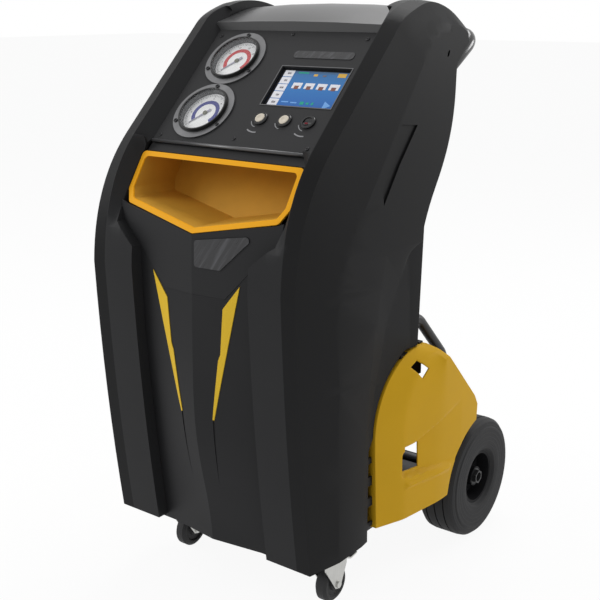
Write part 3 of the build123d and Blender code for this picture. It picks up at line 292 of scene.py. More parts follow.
def plateFinish(name, settings):
    made = Finish(name, {"Specular IOR Level": 0.5})
    inputs = {"Vector": made.coords, "Angle": settings["turn"]}
    turned = made.node("ShaderNodeVectorRotate", {"rotation_type": "Y_AXIS"}, inputs)
    streak = made.noise(1.0, 3, made.mapped(settings["stretch"], turned))
    paintedSheen = ((streak - 0.5) * settings["contrast"]).capped()
    tone = made.blend(paintedSheen, settings["colour"], shade(settings["colour"], settings["paintedSheen"]))
    return made.feed(colour=tone, rough=0.22 + streak * 0.16, normal=made.bump(streak, 0.00003, 0.5))


# powder coat and enamel, with a light orange peel
def paintedFinish(name, colour, rough=0.35, peel=0.00006, specular=0.5):
    made = Finish(name, {"Specular IOR Level": specular})
    cloud = made.noise(9, 3)
    fine = made.noise(620, 2)
    tone = made.blend(cloud, shade(colour, 0.9), shade(colour, 1.12))
    relief = made.bump(fine, peel, 0.5)
    return made.feed(colour=tone, rough=rough - 0.05 + cloud * 0.1, normal=relief)


# bare metal, with drawn scratches along one axis
def metalFinish(name, colour, rough, stretch=(40, 900, 900)):
    made = Finish(name, {"Metallic": 1.0})
    streak = made.noise(1.0, 3, made.mapped(stretch))
    cloud = made.noise(24, 3)
    tone = made.blend(streak, shade(colour, 0.86), shade(colour, 1.1))
    tone = made.blend(cloud * 0.3, tone, shade(colour, 0.8))
    relief = made.bump(streak, 0.00002, 0.4)
    return made.feed(colour=tone, rough=rough - 0.08 + streak * 0.1 + cloud * 0.06, normal=relief)


# tyre and castor rubber, cloudy in tone, with moulded rings on the sidewall whose ridges are painted lighter
def rubberFinish(name, colour, rough=0.72, axle=None, rings=0.0):
    made = Finish(name, {"Specular IOR Level": 0.3})
    cloud = made.noise(14, 4)
    fine = made.noise(800, 2)
    tone = made.blend(cloud, shade(colour, 0.85), shade(colour, 1.25))
    relief = made.bump(fine, 0.00008, 0.5)
    if axle:
        deep, high = made.axes(made.around(axle))[1:]
        radius = (deep * deep + high * high) ** 0.5
        wave = (radius * rings).through("SINE")
        ridge = ((wave - 0.55) * 4).capped()
        tone = made.blend(ridge * 0.3, tone, shade(colour, 1.6))
        relief = made.bump(ridge, 0.0005, 0.6, relief)
    return made.feed(colour=tone, rough=rough - 0.06 + cloud * 0.12, normal=relief)


# flat print such as ticks, numbers and icons
def printFinish(name, colour, rough=0.4, glow=0.0):
    made = Finish(name, {"Emission Strength": glow, "Specular IOR Level": 0.1})
    grainy = made.noise(700, 1)
    tone = made.blend(grainy, shade(colour, 0.94), shade(colour, 1.04))
    links = {"colour": tone, "rough": rough + grainy * 0.05}
    if glow:
        links["glow"] = tone
    return made.feed(**links)


# clear cover: seen through from the front, whitish at a slant
def lensFinish(name):
    made = Finish(name, {"Specular IOR Level": 0.5})
    slant = made.node("ShaderNodeLayerWeight", {}, [0.25], "Fresnel")
    smear = made.noise(30, 3)
    tone = made.blend(smear, (0.85, 0.87, 0.9), (0.95, 0.96, 0.97))
    return made.feed(colour=tone, clear=0.012 + slant * 0.10, rough=0.03 + smear * 0.04)


# backlit screen: greyed top bar, blue ground that deepens downwards
glowSet = {
    "strength": 0.22,
    "rowsPerMetre": 900,
    "rowTone": (0.01, 0.05, 0.16),
    "foot": 0.938,
    "rise": 15,
    "stops": [
        (0.0, (0.016, 0.105, 0.36, 1)),
        (0.45, (0.024, 0.150, 0.40, 1)),
        (0.78, (0.030, 0.135, 0.33, 1)),
        (0.86, (0.045, 0.095, 0.17, 1)),
        (1.0, (0.05, 0.10, 0.13, 1)),
    ],
}


def screenFinish(name, settings):
    made = Finish(name, {"Emission Strength": settings["strength"], "Specular IOR Level": 0.3})
    high = made.axes()[2]
    rows = (high * settings["rowsPerMetre"]).through("FRACT")
    level = ((high - settings["foot"]) * settings["rise"]).capped()
    blue = made.ramp(level, settings["stops"])
    tone = made.blend((rows > 0.8) * 0.12, blue, settings["rowTone"])
    return made.feed(colour=tone, glow=tone, rough=0.12 + made.noise(20, 2) * 0.05)


# woven strap, its threads crossing
def webbingFinish(name, colour):
    made = Finish(name, {"Sheen Weight": 0.3})
    weave, rib = [made.node(
        "ShaderNodeTexWave", {"bands_direction": axis}, {"Vector": made.coords, "Scale": scale}, "Fac",
    ) for axis, scale in (("Z", 160.0), ("X", 240.0))]
    cloth = weave * 0.6 + rib * 0.4
    tone = made.blend(cloth, shade(colour, 0.6), shade(colour, 1.8))
    return made.feed(colour=tone, rough=0.75 + rib * 0.1, normal=made.bump(cloth, 0.0003, 0.6))


# stacked cooling fins, the gaps between them painted dark as painted shade
def finFinish(name, colour, finsPerMetre=520, gapFrom=0.72):
    made = Finish(name, {"Metallic": 1.0})
    gap = (made.axes()[0] * finsPerMetre).through("FRACT") > gapFrom
    tone = made.blend(gap, colour, shade(colour, 0.25))
    relief = made.bump(1 - gap, 0.0004, 0.7)
    return made.feed(colour=tone, rough=0.34 + made.noise(60, 2) * 0.1, normal=relief)


# the sloping panel and the tray mouth, whose finishes and prints sit in their own axes
panelSet = {"slope": 44.16, "depth": -0.1761, "height": 0.9398}
traySet = {
    "centre": (0.0, -0.3465, 0.730),
    "slope": 57.1,
    "lip": 0.002,
    "crisp": 900,
    "edge": (0.96, 0.42, 0.010),
    "pocket": (0.62, 0.33, 0.045),
}
gaugeSet = {
    "x": -0.1002,
    "high": 0.1023,
    "low": -0.0272,
    "well": 0.0525,
    "crisp": 1500,
    "lathe": 9000,
    "metal": (0.19, 0.19, 0.195),
    # the well's black is painted shade on the bezel's inner wall
    "wellShade": (0.012, 0.012, 0.012),
}
needleSet = {"hub": 0.0048, "crisp": 2000, "olive": (0.09, 0.09, 0.05), "pale": (0.34, 0.33, 0.42)}
# crest colour painted paler as painted light, flank colour painted darker as painted shade
crestSet = {
    "edge": 0.2065,
    "crisp": 1200,
    "grain": 0.00009,
    "shadedFlank": (0.0115, 0.0115, 0.012),
    "crest": (0.027, 0.027, 0.028),
}
wheelAxle = (0.0, 0.232, 0.130)


def panelPlace(x, along, rise):
    slope = math.radians(panelSet["slope"])
    cosine, sine = math.cos(slope), math.sin(slope)
    depth = panelSet["depth"] + along * cosine - rise * sine
    height = panelSet["height"] + along * sine + rise * cosine
    return Matrix.Translation((x, depth, height)) @ Matrix.Rotation(slope, 4, "X")


gaugeCentre = {side: panelPlace(gaugeSet["x"], gaugeSet[side], 0).translation for side in ("high", "low")}
panelLean = math.radians(panelSet["slope"])

charcoal = mouldedFinish("charcoalMoulding", (0.021, 0.021, 0.022), specular=0.14)
shellBlack = shellFinish("shellMoulding", crestSet)
coal = mouldedFinish("coalMoulding", (0.018, 0.018, 0.019), rough=0.5, specular=0.14)
panelBlack = mouldedFinish("panelMoulding", (0.026, 0.026, 0.027), rough=0.5, specular=0.14)
coverBlack = mouldedFinish("coverMoulding", (0.034, 0.034, 0.035), rough=0.34, grain=0.00004, specular=0.6)
traySun = trayFinish("trayMoulding", traySet)
guardSun = mouldedFinish("guardMoulding", (0.66, 0.375, 0.016), rough=0.46, grain=0.00003, specular=0.08)
slashSun = mouldedFinish("slashMoulding", (0.78, 0.50, 0.030), rough=0.4, grain=0.00002, specular=0.15)
plateGloss = plateFinish("plateLacquer", plateSet)
blackGloss = mouldedFinish("switchMoulding", (0.008, 0.008, 0.009), rough=0.26, grain=0.00001, specular=0.4)
rimNylon = mouldedFinish("rimMoulding", (0.008, 0.008, 0.009), rough=0.55, specular=0.1)
gaugeHigh = gaugeFinish("gaugeHighMetal", gaugeCentre["high"], panelLean, gaugeSet)
gaugeLow = gaugeFinish("gaugeLowMetal", gaugeCentre["low"], panelLean, gaugeSet)
dialEnamel = paintedFinish("dialEnamel", (0.92, 0.92, 0.91), rough=0.4, specular=0.2)
needleHigh = needleFinish("needleHighLacquer", gaugeCentre["high"], panelLean, needleSet)
needleLow = needleFinish("needleLowLacquer", gaugeCentre["low"], panelLean, needleSet)
handleCoat = paintedFinish("handlePowder", (0.010, 0.010, 0.011), rough=0.2, peel=0.00002, specular=0.6)
frameCoat = paintedFinish("framePowder", (0.007, 0.007, 0.008), rough=0.42, peel=0.0001, specular=0.3)
tankEnamel = paintedFinish("tankEnamel", (0.40, 0.42, 0.44), rough=0.34)
shellEnamel = paintedFinish("compressorEnamel", (0.014, 0.014, 0.015), rough=0.3)
pumpEnamel = paintedFinish("pumpEnamel", (0.06, 0.10, 0.17), rough=0.4, peel=0.0002)
drierEnamel = paintedFinish("drierEnamel", (0.06, 0.17, 0.30), rough=0.35)
zincPlate = metalFinish("zincPlate", (0.55, 0.55, 0.53), rough=0.34, stretch=(300, 300, 60))
darkSteel = metalFinish("darkSteel", (0.07, 0.07, 0.072), rough=0.5)
screwSteel = metalFinish("screwSteel", (0.05, 0.05, 0.052), rough=0.38)
buttonCream = paintedFinish("buttonCream", (0.62, 0.56, 0.46), rough=0.3, peel=0.00002, specular=0.4)
millAlu = metalFinish("millAluminium", (0.58, 0.59, 0.60), rough=0.34)
brassBody = metalFinish("turnedBrass", (0.62, 0.44, 0.18), rough=0.27, stretch=(500, 60, 500))
coilAlu = finFinish("coilAluminium", (0.52, 0.53, 0.54))
tyreRubber = rubberFinish("tyreRubber", (0.019, 0.019, 0.020), axle=wheelAxle, rings=720)
castorRubber = rubberFinish("castorRubber", (0.030, 0.030, 0.031), rough=0.6)
strapWeb = webbingFinish("strapWebbing", (0.02, 0.02, 0.022))
clearLens = lensFinish("clearLens")
screenGlow = screenFinish("screenGlow", glowSet)
inkBlack = printFinish("inkBlack", (0.02, 0.02, 0.02))
inkRed = printFinish("inkRed", (0.56, 0.016, 0.022))
inkBlue = printFinish("inkBlue", (0.020, 0.026, 0.24))
arcReflectionSilver = printFinish("arcReflectionSilver", (0.30, 0.30, 0.31))
inkMaroon = printFinish("inkMaroon", (0.16, 0.012, 0.02))
borderAndShadowBlack = printFinish("borderAndShadowBlack", (0.004, 0.004, 0.005), rough=0.5)
trimGrey = metalFinish("trimGrey", (0.16, 0.16, 0.165), rough=0.3, stretch=(200, 200, 200))
beadGloss = mouldedFinish("beadMoulding", (0.05, 0.05, 0.052), rough=0.3, grain=0.00001, specular=0.8)
iconWhite = printFinish("iconWhite", (0.72, 0.72, 0.76), glow=0.12)
iconGrey = printFinish("iconGrey", (0.16, 0.14, 0.16), glow=0.1)
iconBrown = printFinish("iconBrown", (0.22, 0.10, 0.08), glow=0.1)
iconGreen = printFinish("iconGreen", (0.03, 0.30, 0.22), glow=0.2)
iconAmber = printFinish("iconAmber", (0.62, 0.38, 0.08), glow=0.2)
iconSky = printFinish("iconSky", (0.16, 0.34, 0.66), glow=0.2)
print("finishes mixed")

nodeFinish = [
    (frameCoat, "base_tray handle_clamps frame_tubes axle_blocks"),
    (shellBlack, "side_shell_left side_shell_right"),
    (coal, "front_panel rear_panel guard_clips"),
    (charcoal, "front_fascia"),
    (slashSun, "slash_inlays"),
    (plateGloss, "blank_plates"),
    (traySun, "storage_tray"),
    (panelBlack, "control_panel"),
    (coverBlack, "top_cover"),
    (gaugeHigh, "gauge_case_high"),
    (gaugeLow, "gauge_case_low"),
    (needleHigh, "gauge_needle_high"),
    (needleLow, "gauge_needle_low"),
    (dialEnamel, "gauge_dials"),
    (clearLens, "gauge_lenses"),
    (blackGloss, "display_housing control_bezels power_rocker fan_shroud power_inlet"),
    (screenGlow, "display_glass"),
    (buttonCream, "button_first button_second"),
    (handleCoat, "handle_tube"),
    (darkSteel, "axle wheel_bearings_left wheel_bearings_right"),
    (tyreRubber, "wheel_tyre_left wheel_tyre_right"),
    (rimNylon, "wheel_rim_left wheel_rim_right cooling_fan"),
    (zincPlate, "castor_plates castor_fork_left castor_fork_right castor_pedal_left castor_pedal_right"),
    (castorRubber, "castor_wheel_left castor_wheel_right"),
    (guardSun, "wheel_guard_left wheel_guard_right"),
    (tankEnamel, "refrigerant_tank"),
    (brassBody, "tank_valve manifold_block hose_ports"),
    (millAlu, "tank_platform load_cell"),
    (strapWeb, "tank_strap"),
    (shellEnamel, "compressor"),
    (pumpEnamel, "vacuum_pump"),
    (coilAlu, "condenser"),
    (drierEnamel, "filter_drier"),
    (screwSteel, "cover_screws"),
]
for material, names in nodeFinish:
    for nodeName in names.split():
        for materialSlot in nodes[nodeName].material_slots:
            materialSlot.link = "OBJECT"
            materialSlot.material = material
print("frame dressed in", len(nodeFinish), "finishes")

weldGap = 0.00002  # points nearer than this are one point


def finishPiece(name, mesh, material, body="cabinet"):
    data = bpy.data.meshes.new(name)
    mesh.to_mesh(data)
    mesh.free()
    data.materials.append(material)
    piece = newObject(name, data)
    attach(piece, body)
    return piece


def soften(mesh, crease):  # smooth faces, with sharp edges where they turn by more than the crease
    for face in mesh.faces:
        face.smooth = True
    for edge in mesh.edges:
        edge.smooth = edge.calc_face_angle(0) < math.radians(crease)


def addTile(mesh, place, width, height, thickness=0.0002):
    made = bmesh.ops.create_cube(mesh, size=1)
    scale = Matrix.Diagonal((width, height, thickness, 1))
    bmesh.ops.transform(mesh, matrix=place @ scale, verts=made["verts"])


def addRod(mesh, place, radius, length, segments):
    made = bmesh.ops.create_cone(
        mesh, cap_ends=True, segments=segments, radius1=radius, radius2=radius, depth=length)
    bmesh.ops.transform(mesh, matrix=place, verts=made["verts"])


def addArc(mesh, place, radius, width, start, sweep, steps, thickness=0.0002):
    before = set(mesh.verts)
    half = width / 2
    corners = [(radius - half, 0, 0), (radius + half, 0, 0),
               (radius + half, 0, thickness), (radius - half, 0, thickness)]
    face = mesh.faces.new([mesh.verts.new(corner) for corner in corners])
    turn = Matrix.Rotation(math.radians(start), 3, "Z")
    bmesh.ops.rotate(mesh, verts=face.verts[:], matrix=turn)
    bmesh.ops.spin(
        mesh, geom=[face], cent=(0, 0, 0), axis=(0, 0, 1),
        angle=math.radians(sweep), steps=steps, use_duplicate=False)
    bmesh.ops.holes_fill(mesh, edges=mesh.edges[:], sides=4)
    band = [vert for vert in mesh.verts if vert not in before]
    bmesh.ops.transform(mesh, matrix=place, verts=band)


dialSet = {
    "rise": -0.00492,
    "outerTick": 0.0435,
    "longTick": (0.0052, 0.0009),
    "shortTick": (0.0032, 0.0005),
    "start": 225.0,
    "sweep": 270.0,
    "longSteps": 10,
    "shortSteps": 50,
    "arcRadius": 0.0258,
    "arcWidth": 0.0080,
    "arcSteps": 40,
    "numberRadius": 0.0342,
    "numberSize": 0.0056,
    "numberDepth": 0.00008,
}


def meshOf(curve):  # a curve or text turned into a mesh
    holder = newObject(curve.name, curve)
    bpy.context.view_layer.update()
    data = bpy.data.meshes.new_from_object(holder)
    bpy.data.objects.remove(holder)
    bpy.data.curves.remove(curve)
    return data


def numberMesh(text):
    curve = bpy.data.curves.new("dialNumber", "FONT")
    curve.body = text
    curve.size = dialSet["numberSize"]
    curve.align_x = "CENTER"
    curve.align_y = "CENTER"
    curve.extrude = dialSet["numberDepth"]
    curve.resolution_u = 2
    return meshOf(curve)


def buildDial(side, arcInk, numbers):
    centre = panelPlace(gaugeSet["x"], gaugeSet[side], dialSet["rise"])
    marks = bmesh.new()
    for step in range(dialSet["shortSteps"] + 1):
        angle = dialSet["start"] - dialSet["sweep"] * step / dialSet["shortSteps"]
        isLong = step % (dialSet["shortSteps"] // dialSet["longSteps"]) == 0
        length, width = dialSet["longTick"] if isLong else dialSet["shortTick"]
        turn = Matrix.Rotation(math.radians(angle), 4, "Z")
        shift = Matrix.Translation((dialSet["outerTick"] - length / 2, 0, 0))
        addTile(marks, centre @ turn @ shift, length, width)
    for step, text in enumerate(numbers):
        angle = math.radians(dialSet["start"] - dialSet["sweep"] * step / (len(numbers) - 1))
        data = numberMesh(text)
        radius = dialSet["numberRadius"]
        spot = (radius * math.cos(angle), radius * math.sin(angle), 0)
        data.transform(centre @ Matrix.Translation(spot))
        marks.from_mesh(data)
        bpy.data.meshes.remove(data)
    finishPiece(side + "DialMarks", marks, inkBlack)
    band = bmesh.new()
    addArc(band, centre, dialSet["arcRadius"], dialSet["arcWidth"],
           dialSet["start"], -dialSet["sweep"], dialSet["arcSteps"])
    bmesh.ops.recalc_face_normals(band, faces=band.faces)
    finishPiece(side + "DialArc", band, arcInk)


buildDial("high", inkRed, ["0", "5", "10", "15", "20", "25", "30", "35"])
buildDial("low", inkBlue, ["-1", "0", "2", "4", "6", "8", "10"])
print("dials printed")

# backlit picture on the display, simple shapes only
screenSet = {"x": 0.096, "along": 0.0442, "rise": -0.0042, "width": 0.1516, "height": 0.0894}


def screenPlace(right, up):
    return panelPlace(
        screenSet["x"] + (right - 0.5) * screenSet["width"],
        screenSet["along"] + (up - 0.5) * screenSet["height"],
        screenSet["rise"],
    )


def screenTiles(name, material, tiles):
    mesh = bmesh.new()
    for right, up, width, height in tiles:
        size = (width * screenSet["width"], height * screenSet["height"])
        addTile(mesh, screenPlace(right, up), *size)
    finishPiece(name, mesh, material)


# black border round the screen: thin on the right and bottom, and wide on the left and top as a painted
# shadow of the recess
screenTiles("screenBorderAndShadow", borderAndShadowBlack, [  # each tile's place and size, as shares of the screen
    (0.024, 0.5, 0.048, 1.0), (0.5, 0.974, 1.0, 0.052),
    (0.994, 0.5, 0.012, 1.0), (0.5, 0.008, 1.0, 0.016),
])
keyRows = [0.115 + 0.19 * row for row in range(5)]
iconColumns = [0.335 + 0.178 * column for column in range(4)]
screenTiles("screenKeys", iconWhite, [(0.122, up, 0.142, 0.172) for up in keyRows])
screenTiles("screenKeyMarks", iconGrey, [
    (0.127, up, 0.055 - 0.01 * (row % 2), 0.05) for row, up in enumerate(keyRows)
])
screenTiles("screenIcons", iconWhite, [(right, 0.60, 0.135, 0.075) for right in iconColumns])
screenTiles("screenLegs", iconWhite, [
    (right + shift, 0.53, 0.035, 0.08) for right in iconColumns for shift in (-0.05, 0.05)
])
screenTiles("screenIconMarks", iconBrown, [(right, 0.515, 0.062, 0.085) for right in iconColumns])
screenTiles("screenGreen", iconGreen, [
    (0.33, 0.90, 0.15, 0.035), (0.54, 0.125, 0.055, 0.075),
    (0.62, 0.125, 0.04, 0.05), (0.69, 0.125, 0.03, 0.065),
])
screenTiles("screenAmber", iconAmber, [(0.52, 0.85, 0.055, 0.055), (0.89, 0.87, 0.115, 0.10)])
screenTiles("screenGreyDot", iconGrey, [(0.65, 0.84, 0.05, 0.04)])
screenTiles("screenWords", iconSky, [(0.29, 0.135, 0.10, 0.03), (0.42, 0.125, 0.09, 0.03)])
wedgeSet = {"right": 0.885, "up": 0.10, "turn": 0.52, "radius": 0.0105, "thickness": 0.0002}
wedge = bmesh.new()
wedgePlace = screenPlace(wedgeSet["right"], wedgeSet["up"]) @ Matrix.Rotation(wedgeSet["turn"], 4, "Z")
addRod(wedge, wedgePlace, wedgeSet["radius"], wedgeSet["thickness"], 3)
finishPiece("screenWedge", wedge, iconSky)

# trim round the display window, the bead along the panel's foot, and silver arcs round the controls that are
# painted reflections of a dished recess
trimSet = {"width": 0.1552, "height": 0.0930, "strip": 0.0016, "thickness": 0.001, "rise": 0.0004}
beadSet = {"along": -0.1043, "rise": 0.0016, "radius": 0.0032, "length": 0.3580, "segments": 20}
gasketSet = {"radius": 0.0024, "segments": 12, "ends": [(0.0, -0.3418, 0.7285), (0.165, -0.3262, 0.7566)]}
markSet = {
    "along": -0.0348,
    "places": (0.0387, 0.0919, 0.1432),
    "rise": 0.00002,
    "near": {"radius": 0.0185, "width": 0.0016, "start": 200, "sweep": 58, "steps": 14, "thickness": 0.0003},
    "far": {"radius": 0.0300, "width": 0.0026, "start": 236, "sweep": 44, "steps": 14, "thickness": 0.0003},
}
switchSet = {"below": 0.0045, "half": 0.001, "clear": 0.0001, "size": (0.0065, 0.0034, 0.0003)}


def addTrim():
    mesh = bmesh.new()
    halfWidth, halfHeight = trimSet["width"] / 2, trimSet["height"] / 2
    for side in (-1, 1):
        upright = panelPlace(screenSet["x"] + side * halfWidth, screenSet["along"], trimSet["rise"])
        addTile(mesh, upright, trimSet["strip"], trimSet["height"] + trimSet["strip"], trimSet["thickness"])
        level = panelPlace(screenSet["x"], screenSet["along"] + side * halfHeight, trimSet["rise"])
        addTile(mesh, level, trimSet["width"] - trimSet["strip"], trimSet["strip"], trimSet["thickness"])
    finishPiece("screenTrim", mesh, trimGrey)


def addBead():
    mesh = bmesh.new()
    place = panelPlace(0, beadSet["along"], beadSet["rise"]) @ Matrix.Rotation(math.radians(90), 4, "Y")
    addRod(mesh, place, beadSet["radius"], beadSet["length"], beadSet["segments"])
    for face in mesh.faces:
        face.smooth = len(face.verts) == 4
    finishPiece("panelBead", mesh, beadGloss)


def addGasket():  # dark seal behind the tray's lower edge
    mesh = bmesh.new()
    for sign in (-1, 1):
        low, high = [Vector((sign * spot[0], *spot[1:])) for spot in gasketSet["ends"]]
        turn = (high - low).to_track_quat("Z", "Y").to_matrix().to_4x4()
        place = Matrix.Translation((low + high) / 2) @ turn
        addRod(mesh, place, gasketSet["radius"], (high - low).length, gasketSet["segments"])
    finishPiece("trayGasket", mesh, coal)


# silver crescents by the controls: painted reflections of a dished recess, drawn as flat arcs
def addArcReflections():  # an arc beside each control, and a second one beside the outer two
    mesh = bmesh.new()
    for index, x in enumerate(markSet["places"]):
        place = panelPlace(x, markSet["along"], markSet["rise"])
        addArc(mesh, place, **markSet["near"])
        if index != 1:
            addArc(mesh, place, **markSet["far"])
    bmesh.ops.recalc_face_normals(mesh, faces=mesh.faces)
    finishPiece("controlArcReflections", mesh, arcReflectionSilver)


def addSwitchMark():  # small dark-red mark on the power switch
    place = panelPlace(markSet["places"][2], markSet["along"], 0)
    rocker = nodes["power_rocker"]
    back = place.inverted() @ rocker.matrix_world
    spots = [back @ vert.co for vert in rocker.data.vertices]
    top = max(spot.z for spot in spots if spot.y < -switchSet["half"])
    shift = Matrix.Translation((0, -switchSet["below"], top + switchSet["clear"]))
    mesh = bmesh.new()
    addTile(mesh, place @ shift, *switchSet["size"])
    finishPiece("switchMark", mesh, inkMaroon, "rocker")


addTrim()
addSwitchMark()
addBead()
addGasket()
addArcReflections()
print("screen and panel trimmed")

# wheel guards: flared cover with a soft ridge, a hollow beside its window and a rib under it
guardSet = {
    "foot": -0.318,
    "inner": 0.226,
    "near": 0.250,
    "far": 0.289,
    "knee": 0.32,
    "soft": 0.07,
    "steep": 2.6,
    "flatFrom": 0.78,
    "flatSlope": 0.06,
    "flareSteps": 56,
    "capSteps": 30,
    "wall": 0.003,
    "weld": 0.00005,
    "crease": 24,
}
# outlines seen from the side: depth and height in millimetres, points up to the next corner, and
# for an arc the point it goes through
guardRear = [((398, 150), 3), ((400.6, 158), 50, (438.8, 233.7)), ((512, 277.2), 10), ((514, 312), 8),
             ((500, 335), 32)]
guardEdges = {
    "frontNear": [((192, 150), 40), ((184, 300), 9), ((183, 335), 50, (226, 437)), ((346, 477), 4),
                  ((361, 477), 0)],
    "frontFar": [((386, 150), 40), ((386, 300), 9), ((385, 335), 50, (383, 392)), ((375, 444), 4),
                 ((389, 448), 0)],
    "rearNear": guardRear + [((361, 477), 0)],
    "rearFar": guardRear + [((389, 448), 0)],
}
# crease and rib: height at the start, slope and softness; edge and fade: where and how long
hollowSet = {
    "start": 296,
    "crease": (306, 0.29, 7),
    "rib": (230, 0.12, 9),
    "edge": (246, 10),
    "fade": (445, 145),
    "deep": 0.011,  # metres
}
ribSet = {"start": 262, "length": 136, "height": 219.5, "drop": 7.5, "reach": 9, "out": 0.005, "taper": 0.3}
guardHoles = {
    "window": [(252, 302), (304, 303), (307, 242), (255, 245)],
    "diamond": [(282, 452), (302, 461), (326, 441), (305, 425)],
}


def circleThrough(first, middle, last):
    ax, ay, bx, by, cx, cy = *first, *middle, *last
    twice = 2 * (ax * (by - cy) + bx * (cy - ay) + cx * (ay - by))
    squares = [x * x + y * y for x, y in (first, middle, last)]
    x = (squares[0] * (by - cy) + squares[1] * (cy - ay) + squares[2] * (ay - by)) / twice
    y = (squares[0] * (cx - bx) + squares[1] * (ax - cx) + squares[2] * (bx - ax)) / twice
    return x, y


def sampled(edge):
    points = []
    for part, following in zip(edge, edge[1:]):
        start, count, end = part[0], part[1], following[0]
        if len(part) == 2:
            points += [(start[0] + (end[0] - start[0]) * step / count,
                        start[1] + (end[1] - start[1]) * step / count) for step in range(count)]
            continue
        x, y = circleThrough(start, part[2], end)
        radius = math.hypot(start[0] - x, start[1] - y)
        angles = [math.atan2(point[1] - y, point[0] - x) for point in (start, part[2], end)]
        for index in (1, 2):  # the short way round
            angles[index] -= math.tau * round((angles[index] - angles[index - 1]) / math.tau)
        for step in range(count):
            angle = angles[0] + (angles[2] - angles[0]) * step / count
            points.append((x + radius * math.cos(angle), y + radius * math.sin(angle)))
    return points + [edge[-1][0]]


def eased(value):
    value = min(1.0, max(0.0, value))
    return value * value * (3 - 2 * value)


def guardHollow(depth, height):  # how far the cover dips behind the window, in metres
    top, climb, topSoft = hollowSet["crease"]
    foot, fall, footSoft = hollowSet["rib"]
    edge, edgeSoft = hollowSet["edge"]
    end, fadeLength = hollowSet["fade"]
    crease = top + (depth - hollowSet["start"]) * climb
    ribLine = foot - (depth - hollowSet["start"]) * fall
    inside = eased((crease - height) / topSoft) * eased((height - ribLine) / footSoft)
    fade = min(1.0, max(0.0, (end - depth) / fadeLength)) * eased((depth - edge) / edgeSoft)
    return hollowSet["deep"] * inside * fade


def guardRib(depth, height):  # the rib under the hollow, in metres
    share = min(1.0, max(0.0, (depth - ribSet["start"]) / ribSet["length"]))
    line = ribSet["height"] - ribSet["drop"] * share
    along = ribSet["start"] + ribSet["length"] * share
    away = math.hypot(depth - along, height - line)
    return ribSet["out"] * (1 - share * ribSet["taper"]) * eased(1 - away / ribSet["reach"])


def guardGrid(rows):
    mesh = bmesh.new()
    grid = [[mesh.verts.new(point) for point in row] for row in rows]
    for low, high in zip(grid, grid[1:]):
        for index in range(len(low) - 1):
            mesh.faces.new([low[index], high[index], high[index + 1], low[index + 1]])
    mesh.faces.new([row[0] for row in reversed(grid)])
    return mesh


def openHole(mesh, corners):  # cut along the hole's four sides, then take out what lies inside
    middle = Vector((0, sum(y for y, z in corners) / 4, sum(z for y, z in corners) / 4))
    reach = max(math.hypot(y - middle.y, z - middle.z) for y, z in corners) + 0.004
    edges = list(zip(corners, corners[1:] + corners[:1]))
    for (y1, z1), (y2, z2) in edges:
        near = [face for face in mesh.faces
                if (face.calc_center_median() * Vector((0, 1, 1)) - middle).length < reach]
        geometry = set(near) | {edge for face in near for edge in face.edges}
        geometry |= {vert for face in near for vert in face.verts}
        bmesh.ops.bisect_plane(mesh, geom=list(geometry), dist=0.00001, plane_co=(0, y1, z1),
                               plane_no=Vector((0, z2 - z1, y1 - y2)).normalized())
    turn = 1 if sum(y1 * z2 - y2 * z1 for (y1, z1), (y2, z2) in edges) > 0 else -1
    gone = []
    for face in mesh.faces:
        spot = face.calc_center_median()
        sides = [((y2 - y1) * (spot.z - z1) - (z2 - z1) * (spot.y - y1)) * turn
                 for (y1, z1), (y2, z2) in edges]
        if min(sides) > 0 and spot.x > guardSet["near"]:
            gone.append(face)
    bmesh.ops.delete(mesh, geom=gone, context="FACES")


def guardSection():  # how far out the cover stands at each step from its front edge to its ridge
    knee, blend = guardSet["knee"], guardSet["soft"]
    steps = guardSet["flareSteps"]
    slopes = []
    for step in range(steps):
        share = (step + 0.5) / steps
        turned = eased((share - knee + blend) / (2 * blend))
        flat = eased((share - guardSet["flatFrom"]) / (1 - guardSet["flatFrom"]))
        slope = guardSet["steep"] * (1 - turned) + turned
        slopes.append(slope * (1 - flat) + guardSet["flatSlope"] * flat)
    scale = (guardSet["far"] - guardSet["near"]) / sum(slopes)
    places = [guardSet["near"]]
    for slope in slopes:
        places.append(places[-1] + slope * scale)
    return places


def rowBetween(across, first, second, share):  # points that share of the way from one edge to another
    return [(across, y1 + (y2 - y1) * share, z1 + (z2 - z1) * share)
            for (y1, z1), (y2, z2) in zip(first, second)]


